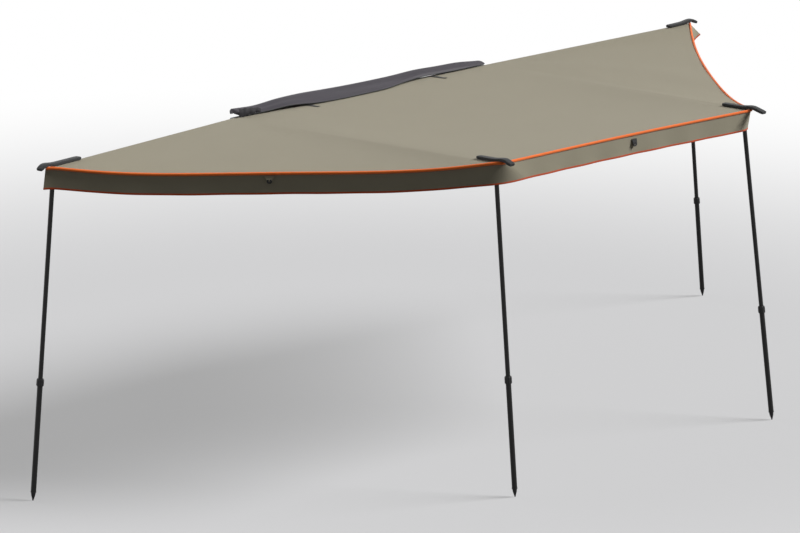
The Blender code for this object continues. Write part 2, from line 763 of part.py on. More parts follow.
def make_spike(tag, length, bore, slide):
    """The foot: a plug in the lower tube, a flange and a cone that bites the ground."""
    flange = SPIKE_FLANGE_DIAMETER / 2
    cone = flange - 0.003
    plug = (bore - CLEAR) * math.cos(math.pi / ROUND_SIDES)
    end = length - SPIKE_LENGTH
    begin = end - SPIKE_FLANGE
    tip = SPIKE_TIP_DIAMETER / 2
    profile = [
        (0, begin - SPIKE_PLUG), (plug, begin - SPIKE_PLUG), (plug, begin), (flange, begin),
        (flange, end - 0.001), (flange - 0.001, end), (cone, end),
        (cone * 0.82, end + 0.35 * SPIKE_LENGTH), (tip, length - tip * 0.7),
        (tip * 0.6, length - tip * 0.15), (0, length),
    ]
    piece(f"{tag}_spike", turned(profile), "black_nylon", slide)


def make_collar(tag, top, twist):
    """The twist collar: a fluted grip over the top of the lower tube."""
    narrow = (UPPER_TUBE_DIAMETER / 2 + RUNNING) / math.cos(math.pi / ROUND_SIDES)
    wide = (LOWER_TUBE_DIAMETER / 2 + CLEAR) / math.cos(math.pi / ROUND_SIDES)
    outer = COLLAR_DIAMETER / 2
    step = top + COLLAR_HEIGHT - COLLAR_SKIRT - CLEAR
    end = top + COLLAR_HEIGHT
    profile = [
        (narrow, top), (outer - 0.005, top), (outer - 0.001, top + 0.005), (outer, top + 0.010),
        (outer, end - 0.006), (outer - 0.004, end), (wide, end), (wide, step), (narrow, step),
    ]
    sides = 2 * COLLAR_FLUTES
    bm = turned(profile, sides=sides)
    for vert in bm.verts:
        radius = math.hypot(vert.co.y, vert.co.z)
        if radius < outer - 0.0012:
            continue
        turn = math.atan2(vert.co.y, vert.co.z) / math.tau * sides
        if round(turn) % 2:
            keep = (radius - COLLAR_FLUTE_DEPTH) / radius
            vert.co.y *= keep
            vert.co.z *= keep
    piece(f"{tag}_twist_collar", bm, "black_nylon", twist)


def flat_bottom(t):
    """0 where an edge rests on the arms at its ends, and 1 along most of its middle."""
    free = (t - ARM_REST) / (1 - 2 * ARM_REST)
    return max(0.0, 1 - (2 * free - 1) ** 4) ** 1.25


def across(columns):
    """Places across a panel, 0 to 1: close together where the cloth leaves the arms."""
    last = columns - 2
    eased = [(1 - math.cos(math.pi * k / last)) / 2 for k in range(last + 1)]
    return [0.0, *(ARM_REST + (1 - 2 * ARM_REST) * share for share in eased), 1.0]


def inward(a, b, towards):
    """The level direction square to the chord from a to b, on the side of a point."""
    chord = (b - a).to_2d()
    square = Vector((-chord.y, chord.x, 0)).normalized()
    return square if square.dot(towards - a) > 0 else -square


def edge_point(a, b, hinge, t, hollow, sag):
    """A point on the canopy's free edge: drawn in towards the hinge and sagging."""
    point = a.lerp(b, t) + inward(a, b, hinge) * hollow * 4 * t * (1 - t)
    point.z -= sag * flat_bottom(t)
    return point


def fan_rows(first, second, hinge):
    """A fan panel's grid, from near its hinge out to the free edge."""
    a, b = first.corner(), second.corner()
    width = (b - a).length
    margin = SEAM_GAP / width
    rows = []
    for i in range(FAN_ROWS + 1):
        r = FAN_START + (1 - FAN_START) * i / FAN_ROWS
        row = []
        for share in across(FAN_COLUMNS):
            t = margin / r + (1 - 2 * margin / r) * share
            edge = edge_point(a, b, hinge, t, FAN_HOLLOW, 0)
            point = hinge.lerp(edge, r)
            point.z -= FAN_SAG * flat_bottom(t) * r**FAN_SAG_GROWTH
            row.append(point)
        rows.append(row)
    return rows


def root_point(share):
    """A point on the canopy's line along the rail, 0 at the front hinge and 1 at the rear."""
    x = CANOPY_ROOT_HALF * (2 * share - 1)
    return Vector((x, GROOVE_PLACE, CANOPY_ROOT_HEIGHT))


def middle_rows(start, end):
    """Part of the middle panel's grid, from the rail out, start and end being shares of it."""
    a, b = ARMS[1].corner(), ARMS[2].corner()
    margin = SEAM_GAP / (b - a).length
    inside = [t for t in across(MIDDLE_COLUMNS) if start + margin < t < end - margin]
    half = [start + margin, *inside, end - margin]
    rows = []
    for i in range(MIDDLE_ROWS + 1):
        s = i / MIDDLE_ROWS
        row = []
        for t in half:
            point = root_point(t).lerp(edge_point(a, b, root_point(t), t, OUTER_HOLLOW, 0), s)
            point.z -= OUTER_SAG * flat_bottom(t) * s**1.5
            point.z -= MIDDLE_SAG * flat_bottom(t) * math.sin(math.pi * s) * (s ** 0.5)
            row.append(point)
        rows.append(row)
    return rows


def valance_rows(edge, outward, start, end):
    """A valance's grid: it hangs from the canopy's edge with shallow waves."""
    rows = []
    for i in range(VALANCE_ROWS + 1):
        drop = i / VALANCE_ROWS
        row = []
        for k in range(VALANCE_COLUMNS + 1):
            t = start + (end - start) * k / VALANCE_COLUMNS
            wave = VALANCE_WAVE * drop * math.sin(math.tau * VALANCE_WAVES * t)
            point = edge(t) + outward * (CLOTH / 2 + CLEAR + CLOTH / 2 + wave * flat_bottom(t))
            point.z += CLOTH / 2 - VALANCE_HEIGHT * drop
            row.append(point)
        rows.append(row)
    return rows


def make_canopy(hubs):
    """Two fan panels, the middle panel in two halves, and the valances below their edges."""
    front_hinge, rear_hinge = root_point(0), root_point(1)
    here = Matrix.Identity(4)
    one, two, three, four = ARMS
    piece("canopy_front_fan", cloth(fan_rows(one, two, front_hinge)), "khaki_canvas", hubs[2], here)
    piece("canopy_rear_fan", cloth(fan_rows(three, four, rear_hinge)), "khaki_canvas", hubs[3], here)
    piece("canopy_middle_front", cloth(middle_rows(0, 0.5)), "khaki_canvas", None, here)
    piece("canopy_middle_rear", cloth(middle_rows(0.5, 1)), "khaki_canvas", None, here)

    def fan_edge(first, second, hinge):
        a, b = first.corner(), second.corner()
        return lambda t: edge_point(a, b, hinge, t, FAN_HOLLOW, FAN_SAG)

    def outer_edge(t):
        return edge_point(two.corner(), three.corner(), front_hinge, t, OUTER_HOLLOW, OUTER_SAG)

    for name, first, second, hinge, hub in (
        ("valance_front", one, two, front_hinge, hubs[2]),
        ("valance_rear", three, four, rear_hinge, hubs[3]),
    ):
        a, b = first.corner(), second.corner()
        margin = VALANCE_CORNER_GAP / (b - a).length
        out = -inward(a, b, hinge)
        rows = valance_rows(fan_edge(first, second, hinge), out, margin, 1 - margin)
        piece(name, cloth(rows), "khaki_canvas", hub, here)
    a, b = two.corner(), three.corner()
    margin, seam = VALANCE_CORNER_GAP / (b - a).length, SEAM_GAP / (b - a).length
    out = -inward(a, b, front_hinge)
    for name, start, end in (
        ("valance_outer_front", margin, 0.5 - seam),
        ("valance_outer_rear", 0.5 + seam, 1 - margin),
    ):
        piece(name, cloth(valance_rows(outer_edge, out, start, end)), "khaki_canvas", None, here)


def cover_section(x):
    """The folded cover's outline at a place along the rail: low at the ends, fullest inside."""
    share = (x + COVER_HALF_LENGTH) / (2 * COVER_HALF_LENGTH)
    end = min(1.0, min(share, 1 - share) * 14 + 0.25)
    full = math.sin(math.pi * min(1.0, share * 1.25)) ** 0.5 if share < 0.8 else 0.0
    crest = COVER_END_CREST + (COVER_CREST - COVER_END_CREST) * full
    ripple = 0.004 * math.sin(31 * x) + 0.003 * math.sin(53 * x + 1)
    crest = (crest + ripple) * (0.6 + 0.4 * end)
    middle, half = (COVER_FRONT + COVER_BACK) / 2, (COVER_BACK - COVER_FRONT) / 2 * (0.7 + 0.3 * end)
    ring = []
    for k in range(COVER_SIDES):
        a = math.tau * k / COVER_SIDES
        y = middle + half * math.copysign(abs(math.cos(a)) ** 0.7, math.cos(a))
        lean = 0.5 + 0.5 * math.copysign(abs(math.sin(a)) ** 0.8, math.sin(a))
        ring.append(Vector((x, y, COVER_BASE + crest * lean)))
    return ring


def make_cover():
    """The storage cover on top of the rail, and the two webbing straps that close it."""
    places = [COVER_HALF_LENGTH * (2 * i / (COVER_STATIONS - 1) - 1) for i in range(COVER_STATIONS)]
    piece("storage_cover", loft([cover_section(x) for x in places]), "charcoal_cover")
    for name, x in zip(("storage_strap_front", "storage_strap_rear"), STRAP_PLACES):
        top, half = RAIL_FRONT - CLEAR, STRAP_WIDTH / 2
        sheet, reach = STRAP_THICKNESS, STRAP_REACH
        outline = [
            (top, RAIL_BOTTOM + 0.006),
            (top, 0.012),
            (top - reach + sheet, 0.018),
            (top - reach, 0.018),
            (top - reach, 0.014),
            (top - sheet, 0.008),
            (top - sheet, RAIL_BOTTOM + 0.006),
        ]
        piece(name, prism(outline, x - half, x + half, axes="yzx"), "black_webbing")


def build():
    """Makes the whole awning, standing open."""
    clear_scene()
    make_rail()
    names = ("rack_bracket_front", "rack_bracket_middle", "rack_bracket_rear")
    first, span = BRACKET_INSET - RAIL_LENGTH / 2, RAIL_LENGTH - 2 * BRACKET_INSET
    for i, name in enumerate(names[:BRACKET_COUNT]):
        make_bracket(name, first + span * i / (BRACKET_COUNT - 1))
    make_hinge("front", FRONT_PIN)
    make_hinge("rear", REAR_PIN)
    hubs = {}
    for arm in sorted(ARMS, key=lambda a: a.upper_knuckle):
        carrier = {1: 2, 4: 3}.get(arm.number)
        hubs[arm.number] = pivot(f"arm_{arm.number}_swing", arm.frame, hubs.get(carrier))
        make_arm(arm, hubs[arm.number])
        make_leg(arm, hubs[arm.number])
    make_canopy(hubs)
    make_cover()


build()
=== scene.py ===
"""Looks of a fold-out vehicle side awning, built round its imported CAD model.

Metres, +Z up, in the CAD model's own frame: X runs along the vehicle, -Y points away
from it, and the ground lies below the origin. The arms, and the canopy's corners with
them, are numbered 1 to 4 from the front of the vehicle to its rear.
"""

import json
import logging
import math
from collections.abc import Callable, Sequence
from dataclasses import dataclass, field
from enum import Enum

import bmesh
import bpy
from mathutils import Matrix, Vector
from mathutils.geometry import area_tri

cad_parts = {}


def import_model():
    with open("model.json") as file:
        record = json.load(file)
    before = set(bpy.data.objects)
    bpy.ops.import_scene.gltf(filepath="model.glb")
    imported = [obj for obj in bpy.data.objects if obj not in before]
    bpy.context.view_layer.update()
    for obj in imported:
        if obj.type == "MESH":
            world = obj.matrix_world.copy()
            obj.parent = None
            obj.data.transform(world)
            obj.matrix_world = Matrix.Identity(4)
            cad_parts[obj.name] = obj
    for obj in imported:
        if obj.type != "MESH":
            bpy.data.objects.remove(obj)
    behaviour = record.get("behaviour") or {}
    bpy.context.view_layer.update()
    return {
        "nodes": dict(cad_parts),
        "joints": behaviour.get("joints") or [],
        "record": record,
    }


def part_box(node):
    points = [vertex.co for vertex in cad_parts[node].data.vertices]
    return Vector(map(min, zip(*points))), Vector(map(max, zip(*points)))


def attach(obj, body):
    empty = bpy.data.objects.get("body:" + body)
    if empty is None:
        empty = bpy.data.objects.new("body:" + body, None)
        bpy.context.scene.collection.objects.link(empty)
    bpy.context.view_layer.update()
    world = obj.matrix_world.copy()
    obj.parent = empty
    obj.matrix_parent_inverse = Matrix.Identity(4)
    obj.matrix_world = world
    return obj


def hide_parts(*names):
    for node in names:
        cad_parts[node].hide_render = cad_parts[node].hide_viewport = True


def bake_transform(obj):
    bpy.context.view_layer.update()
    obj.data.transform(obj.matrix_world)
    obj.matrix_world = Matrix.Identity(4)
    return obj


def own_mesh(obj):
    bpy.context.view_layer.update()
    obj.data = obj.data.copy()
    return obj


LOG = logging.getLogger("awning")
GROUND = -1.940
# The angle past which an edge isn't shaded as a curve
SHARP = math.radians(60)
UP = Vector((0, 0, 1))
REARWARD = Vector((1, 0, 0))


def linear(code: str) -> tuple[float, float, float, float]:
    """Turns an sRGB colour of six hex digits into linear red, green and blue, and an alpha of 1."""
    parts = [int(code[i : i + 2], 16) / 255 for i in (0, 2, 4)]
    red, green, blue = (c / 12.92 if c <= 0.04045 else ((c + 0.055) / 1.055) ** 2.4 for c in parts)
    return red, green, blue, 1.0


@dataclass(frozen=True)
class Shading:
    """The node tree of a material or of the world, with short ways to add to it."""

    tree: bpy.types.NodeTree

    @property
    def shader(self) -> bpy.types.Node:
        """The Principled BSDF that a new material comes with."""
        return self.tree.nodes["Principled BSDF"]

    def plug(self, node: bpy.types.Node, sockets: dict) -> None:
        """Gives each input of a node a value, or a link from another node's output."""
        for socket, value in sockets.items():
            if isinstance(value, bpy.types.NodeSocket):
                self.tree.links.new(value, node.inputs[socket])
            else:
                node.inputs[socket].default_value = value

    def add(
        self, kind: str, sockets: dict | None = None, **settings: object
    ) -> bpy.types.bpy_prop_collection:
        """Adds one node, and returns its outputs.

        Args:
            kind: Blender's name for the kind of node, less "ShaderNode".
            sockets: What each input takes: a value, or another node's output.
            settings: The node's own properties.
        """
        made = self.tree.nodes.new(f"ShaderNode{kind}")
        for name, value in settings.items():
            setattr(made, name, value)
        self.plug(made, sockets or {})
        return made.outputs

    def work_out(self, operation: str, *values: object) -> bpy.types.NodeSocket:
        """Adds one step of arithmetic on values or outputs, and returns its result."""
        return self.add("Math", dict(enumerate(values)), operation=operation)[0]

    def mottle(self, size_mm: float, where: bpy.types.NodeSocket) -> bpy.types.NodeSocket:
        """Adds noise from 0 to 1, its patches about a real size across on places in metres."""
        sockets = {"Vector": where, "Scale": 1000 / size_mm, "Detail": 4.0, "Roughness": 0.55}
        return self.add("TexNoise", sockets)["Fac"]

    def relief(self, height: bpy.types.NodeSocket, depth_mm: float) -> None:
        """Gives the material a bump, by a height from 0 to 1 and its real depth."""
        sockets = {"Height": height, "Strength": 1.0, "Distance": depth_mm / 1000}
        self.plug(self.shader, {"Normal": self.add("Bump", sockets)["Normal"]})


@dataclass(frozen=True)
class Finish:
    """A surface finish: a body colour and its shade, which subclasses add their detail to."""

    name: str
    colour: str
    shade: str
    roughness: float
    metallic: float = 0.0
    specular: float = 0.25
    unevenness: float = 0.08

    def material(self) -> bpy.types.Material:
        """Returns the finish's material, made the first time that it is asked for."""
        found = bpy.data.materials.get(self.name)
        if found:
            return found
        made = bpy.data.materials.new(self.name)
        made.use_nodes = True
        nodes = Shading(made.node_tree)
        surface = {"Metallic": self.metallic, "Roughness": self.roughness}
        nodes.plug(nodes.shader, {**surface, "Specular IOR Level": self.specular})
        self.dress(nodes)
        return made

    def dress(self, nodes: Shading) -> None:
        """Adds colour and relief to a material's nodes. Subclasses say how."""
        raise NotImplementedError

    def tint(self, nodes: Shading, factor: bpy.types.NodeSocket) -> None:
        """Mixes the shade and the body colour by a factor, into the shader's base colour."""
        sockets = {0: factor, 6: linear(self.shade), 7: linear(self.colour)}
        mix = nodes.add("Mix", sockets, data_type="RGBA")
        nodes.plug(nodes.shader, {"Base Color": mix[2]})

    def vary(self, nodes: Shading, factor: bpy.types.NodeSocket) -> None:
        """Varies the roughness about its own value by a factor from 0 to 1."""
        low, high = self.roughness - self.unevenness, self.roughness + self.unevenness
        rough = nodes.add("MapRange", {"Value": factor, "To Min": low, "To Max": high})
        nodes.plug(nodes.shader, {"Roughness": rough["Result"]})


@dataclass(frozen=True)
class WovenCloth(Finish):
    """Plain-woven cloth: two crossing sets of threads, matt, a little uneven in the dye."""

    thread_mm: float = 2.0
    depth_mm: float = 0.25
    patch_mm: float = 260.0
    sheen: float = 0.15

    def dress(self, nodes: Shading) -> None:
        """Adds the weave along the cloth's own UV map, and the dye's slow variation."""
        uv = nodes.add("TexCoord")["UV"]
        sockets = {"Vector": uv, "Scale": 50 * math.pi / self.thread_mm, "Distortion": 0.6}
        waves = [nodes.add("TexWave", sockets, bands_direction=way)["Fac"] for way in ("X", "Y")]
        weave = nodes.work_out("MULTIPLY", *waves)
        patches = nodes.mottle(self.patch_mm, uv)
        fleck = nodes.mottle(self.thread_mm * 3, uv)
        both = nodes.work_out("ADD", patches, fleck)
        self.tint(nodes, nodes.work_out("MULTIPLY", both, 0.5))
        nodes.relief(weave, self.depth_mm)
        nodes.plug(nodes.shader, {"Sheen Weight": self.sheen})


@dataclass(frozen=True)
class CoatedCloth(Finish):
    """Coated cover cloth: a fine grain under a plastic film, with creases that catch the light, and
    painted shade in their hollows.
    """

    grain_mm: float = 3.0
    grain_share: float = 0.12
    crease_mm: float = 60.0
    crease_stretch: tuple[float, float, float] = (0.16, 1.0, 1.0)
    depth_mm: float = 2.5
    film: float = 0.04
    film_roughness: float = 0.45

    def dress(self, nodes: Shading) -> None:
        """Adds the film's grain and the long creases of a folded cover, with painted shade in the
        creases' hollows.
        """
        where = nodes.add("TexCoord")["Object"]
        stretched = nodes.add("Mapping", {"Vector": where, "Scale": self.crease_stretch})
        crease_and_shade = nodes.mottle(self.crease_mm, stretched["Vector"])
        grain = nodes.mottle(self.grain_mm, where)
        # Painted shade: the darker colour fills the creases' hollows, by the same noise that raises
        # their relief.
        self.tint(nodes, crease_and_shade)
        height = nodes.work_out("MULTIPLY_ADD", grain, self.grain_share, crease_and_shade)
        nodes.relief(height, self.depth_mm)
        nodes.plug(nodes.shader, {"Coat Weight": self.film, "Coat Roughness": self.film_roughness})


@dataclass(frozen=True)
class DrawnMetal(Finish):
    """Extruded or plated metal: fine lines left by the die, under a satin surface."""

    specular: float = 0.5
    line_mm: float = 1.2
    line_stretch: tuple[float, float, float] = (0.06, 0.06, 1.0)
    depth_mm: float = 0.03

    def dress(self, nodes: Shading) -> None:
        """Adds die lines and a slight unevenness in the gloss."""
        where = nodes.add("TexCoord")["Object"]
        stretched = nodes.add("Mapping", {"Vector": where, "Scale": self.line_stretch})
        lines = nodes.mottle(self.line_mm, stretched["Vector"])
        self.tint(nodes, lines)
        nodes.relief(lines, self.depth_mm)
        self.vary(nodes, lines)


@dataclass(frozen=True)
class GrainedCoat(Finish):
    """Powder coat or moulded plastic: a fine pebbled skin, a little worn where it is handled."""

    grain_mm: float = 1.0
    mark_mm: float = 90.0
    depth_mm: float = 0.08

    def dress(self, nodes: Shading) -> None:
        """Adds the pebbled skin and the handling marks."""
        where = nodes.add("TexCoord")["Object"]
        grain = nodes.mottle(self.grain_mm, where)
        marks = nodes.mottle(self.mark_mm, where)
        self.tint(nodes, marks)
        nodes.relief(grain, self.depth_mm)
        self.vary(nodes, marks)


# Proofed polyester canvas, woven: matt khaki. Threads of about 0.4 mm are drawn at 2 mm to show.
CANVAS = WovenCloth("proofed_canvas", "99927E", "918A77", 0.88)
# The same canvas in the valances, where it hangs: the dye's patches look smaller. It is painted a
# little lighter than the canopy's canvas, as painted light on the upright cloth.
VALANCE = WovenCloth("hanging_canvas_painted_light", "9F9884", "96907C", 0.88, patch_mm=160.0)
# Polyester binding tape, ribbed across: bright orange, a little glossier than the canvas.
ORANGE_TAPE = WovenCloth("orange_binding_tape", "FF7E34", "F8722C", 0.70, thread_mm=2.5)
# The hem's tape is the same orange, painted deeper as shade, since it is folded under, out of the
# light.
HEM_IN_PAINTED_SHADE = WovenCloth("orange_hem_in_painted_shade", "C8542A", "B84823", 0.75, thread_mm=2.5)
# Heavy nylon webbing and padding cloth, woven: black, matt, a coarse thread.
WEBBING = WovenCloth("black_nylon_webbing", "323334", "272829", 0.80, thread_mm=3.0, depth_mm=0.5)
# Vinyl-coated polyester, calendered: charcoal with a purple cast and a soft gloss on its folds. Its
# darker colour is painted shade in the creases' hollows.
COVER_CLOTH = CoatedCloth("coated_cover_cloth", "413D44", "343137", 0.62)
# The cover's uncoated inner side, which shows where its end is turned out: nearly black. Its darker
# colour is painted shade in the creases' hollows.
COVER_LINING = CoatedCloth("cover_lining_cloth", "242226", "1A191C", 0.78, crease_mm=35.0)
# Extruded aluminium, clear anodised: satin grey with die lines along it.
ANODISED = DrawnMetal("clear_anodised_aluminium", "8E9092", "808284", 0.46, 1.0)
# Zinc-plated steel: pale and dull.
ZINC = DrawnMetal("zinc_plated_steel", "ACAEB0", "9A9C9E", 0.40, 1.0, line_mm=2.5)
# Steel plate, powder coated: black with a fine orange-peel skin.
COATED_STEEL = GrainedCoat("powder_coated_steel", "2A2B2C", "222324", 0.50)
# Steel tube, powder coated: satin black.
COATED_TUBE = GrainedCoat("powder_coated_tube", "191919", "131313", 0.46)
# Glass-filled nylon, moulded: matt black with a spark-eroded texture.
NYLON = GrainedCoat("moulded_nylon", "262627", "1E1E1F", 0.58, grain_mm=1.6, depth_mm=0.12)

NODE_FINISHES = {
    "anodised_aluminium": ANODISED,
    "black_steel": COATED_STEEL,
    "zinc_steel": ZINC,
    "black_coated_tube": COATED_TUBE,
    "black_nylon": NYLON,
}


class Carrier(Enum):
    """What carries a piece of cloth, which decides how the piece is fixed in place."""

    FRONT_FAN = ("arm_2", "arm_1")
    REAR_FAN = ("arm_3", "arm_4")
    MIDDLE_FRONT = ("arm_2_swing",)
    MIDDLE_REAR = ("arm_3_swing",)


class Edge(Enum):
    """The canopy's free edges, by the corners that they run between."""

    FRONT = (1, 2)
    OUTER = (2, 3)
    REAR = (3, 4)


@dataclass(frozen=True)
class ArmLine:
    """Where one arm lies, read from the joints at its two ends."""

    number: int
    pin: Vector
    pivot: Vector
    out: Vector
    tilt: float
    drop: float

    @classmethod
    def read(cls, number: int, joints: Sequence[dict], drop: float = 0.045) -> "ArmLine":
        """Reads an arm from the frame's joints: its leg's pivot lies a drop below its middle."""
        by_name = {j["name"]: j for j in joints}
        pin = Vector(by_name[f"arm_{number}_swing"]["pos_m"])
        fold = by_name[f"leg_{number}_fold"]
        pivot, left = Vector(fold["pos_m"]), Vector(fold["axis"])
        out = Vector((left.y, -left.x, 0)).normalized()
        level = (pivot - pin).dot(out)
        reach = math.hypot(level, pivot.z)
        tilt = math.atan2(pivot.z, level) + math.asin(drop / reach)
        return cls(number, pin, pivot, out, tilt, drop)

    @property
    def along(self) -> Vector:
        """The arm's direction, towards its tip."""
        return self.out * math.cos(self.tilt) + UP * math.sin(self.tilt)

    @property
    def over(self) -> Vector:
        """The direction square to the arm, upwards."""
        return UP * math.cos(self.tilt) - self.out * math.sin(self.tilt)

    @property
    def left(self) -> Vector:
        """The direction square to the arm, level, to the left of its heading."""
        return Vector((-self.out.y, self.out.x, 0))

    def place(self, along: float, left: float, over: float) -> Vector:
        """A point by its distance past the leg's pivot, to the left, and above the arm's middle."""
        return self.pivot + self.along * along + self.left * left + self.over * (self.drop + over)


@dataclass
class Canopy:
    """The canopy's surfaces, from the rail's groove out to its free edges.

    The sizes are the CAD model's own, so that each sheet lies where its solid does.
    """

    joints: Sequence[dict]
    root_half: float = 1.185
    root_y: float = -0.0343
    root_z: float = 0.03105
    over_arm: float = 0.02005
    corner_reach: tuple[float, ...] = (0.070, 0.065, 0.065, 0.028)
    arm_rest: float = 0.014
    fan_hollow: float = 0.068
    fan_sag: float = 0.062
    fan_growth: float = 1.8
    fan_start: float = 0.006
    outer_hollow: float = 0.035
    outer_sag: float = 0.003
    outer_growth: float = 1.5
    middle_sag: float = 0.026
    pucker: float = 0.0014
    fan_puckers: float = 3.5
    fan_slant: float = 5.0
    middle_puckers: float = 2.5
    middle_slant: float = 4.0
    arms: dict[int, ArmLine] = field(default_factory=dict)

    def __post_init__(self) -> None:
        """Reads the four arms."""
        self.arms = {n: ArmLine.read(n, self.joints) for n in (1, 2, 3, 4)}

    def corner(self, number: int) -> Vector:
        """The canopy's corner past an arm's tip."""
        return self.arms[number].place(self.corner_reach[number - 1], 0, self.over_arm)

    def root(self, share: float) -> Vector:
        """A point on the rail's groove, 0 at its front end and 1 at its rear end."""
        return Vector((self.root_half * (2 * share - 1), self.root_y, self.root_z))

    def flat_bottom(self, t: float) -> float:
        """0 where an edge rests on the arms at its ends, and 1 along most of its middle."""
        free = (t - self.arm_rest) / (1 - 2 * self.arm_rest)
        return max(0.0, 1 - (2 * free - 1) ** 4) ** 1.25

    def spread(self, share: float, count: int) -> float:
        """Moves an even share across a panel to where its column goes, closer near the arms."""
        k = share * count
        if k <= 1 or k >= count - 1:
            return self.arm_rest * k if k <= 1 else 1 - self.arm_rest * (count - k)
        eased = (1 - math.cos(math.pi * (k - 1) / (count - 2))) / 2
        return self.arm_rest + (1 - 2 * self.arm_rest) * eased

    def hinge(self, edge: Edge) -> Vector:
        """The end of the rail's groove that a fan spreads from."""
        return self.root(0.0 if edge is Edge.FRONT else 1.0)

    def ends(self, edge: Edge) -> tuple[Vector, Vector]:
        """An edge's two corners."""
        first, second = edge.value
        return self.corner(first), self.corner(second)

    def length(self, edge: Edge) -> float:
        """The straight distance between an edge's corners."""
        first, second = self.ends(edge)
        return (first - second).length

    def outward(self, edge: Edge) -> Vector:
        """The level direction square to an edge, away from the vehicle."""
        first, second = self.ends(edge)
        chord = second - first
        square = Vector((-chord.y, chord.x, 0)).normalized()
        return square if square.dot(first - self.root(0.5)) > 0 else -square

    def drawn_in(self, edge: Edge, t: float) -> Vector:
        """A point on a free edge before it sags: t runs from its first corner to its second."""
        first, second = self.ends(edge)
        hollow = self.outer_hollow if edge is Edge.OUTER else self.fan_hollow
        return first.lerp(second, t) - self.outward(edge) * hollow * 4 * t * (1 - t)

    def free_edge(self, edge: Edge, t: float) -> Vector:
        """A point on a free edge, in the middle of the cloth."""
        sag = self.outer_sag if edge is Edge.OUTER else self.fan_sag
        return self.drawn_in(edge, t) - UP * sag * self.flat_bottom(t)

    def fan(self, edge: Edge, t: float, r: float) -> Vector:
        """A point on a fan panel: t across it and r from its hinge to its free edge."""
        point = self.hinge(edge).lerp(self.drawn_in(edge, t), r)
        rest = self.flat_bottom(t)
        phase = math.tau * self.fan_puckers * t + self.fan_slant * r
        point.z -= self.fan_sag * rest * r**self.fan_growth
        point.z += self.pucker * rest * r * math.sin(phase)
        return point

    def middle(self, t: float, s: float) -> Vector:
        """A point on the middle panel: t along the rail and s from it to the outer edge."""
        point = self.root(t).lerp(self.drawn_in(Edge.OUTER, t), s)
        rest = self.flat_bottom(t)
        phase = math.tau * self.middle_puckers * t + self.middle_slant * s
        point.z -= self.outer_sag * rest * s**self.outer_growth
        point.z -= self.middle_sag * rest * math.sin(math.pi * s) * math.sqrt(s)
        point.z += self.pucker * rest * s * math.sin(phase)
        return point

    def fan_cut(self, edge: Edge) -> float:
        """The flat area that a fan is cut to.

        It is the triangle of its corners less its edge's hollow, a parabola's 2/3.
        """
        whole = area_tri(self.hinge(edge), *self.ends(edge))
        return whole - self.fan_hollow * self.length(edge) * 2 / 3

    def half_cut(self, low: float) -> float:
        """The flat area that the half of the middle panel beginning at a share is cut to.

        It is two triangles of its corners less what the parabola of the outer edge's hollow
        takes beyond the half's straight chord, a twelfth of its depth by the whole length.
        """
        a, b = self.root(low), self.root(low + 0.5)
        c, d = (self.drawn_in(Edge.OUTER, t) for t in (low + 0.5, low))
        whole = area_tri(a, b, c) + area_tri(a, c, d)
        return whole - self.outer_hollow * self.length(Edge.OUTER) / 12

    def height_at(self, x: float, y: float) -> float:
        """How high the middle panel lies near the rail."""
        s = max(0.0, (self.root_y - y) / (self.root_y - self.corner(2).y))
        return self.middle((x / self.root_half + 1) / 2, s).z


def laid_sheet(
    cells: tuple[int, int],
    surface: Callable[[float, float], Vector],
    flat: tuple[float, float],
    thickness: float,
    start: float = 0.0,
) -> bmesh.types.BMesh:
    """Lays a closed sheet over a surface, with a UV map in metres of the flat cloth.

    Args:
        cells: Faces across and along.
        surface: Gives the point at a share across and a share along.
        flat: The flat cloth's width and length.
        thickness: The cloth's thickness, half to each side of the surface.
        start: Where across the whole cloth this piece begins.
    """
    bm = bmesh.new()
    across = bm.verts.layers.float.new("across")
    along = bm.verts.layers.float.new("along")
    bmesh.ops.create_grid(bm, x_segments=cells[0], y_segments=cells[1], size=0.5)
    for vert in bm.verts:
        u, v = vert.co.x + 0.5, vert.co.y + 0.5
        vert[across], vert[along] = start + u * flat[0], v * flat[1]
        vert.co = surface(u, v)
    bmesh.ops.recalc_face_normals(bm, faces=bm.faces)
    bm.normal_update()
    outward = {vert: vert.normal.copy() for vert in bm.verts}
    for vert, normal in outward.items():
        vert.co += normal * thickness / 2
    bmesh.ops.solidify(bm, geom=bm.faces[:], thickness=thickness)
    uv = bm.loops.layers.uv.new("cloth")
    for face in bm.faces:
        for corner in face.loops:
            corner[uv].uv = (corner.vert[across], corner.vert[along])
    return bm


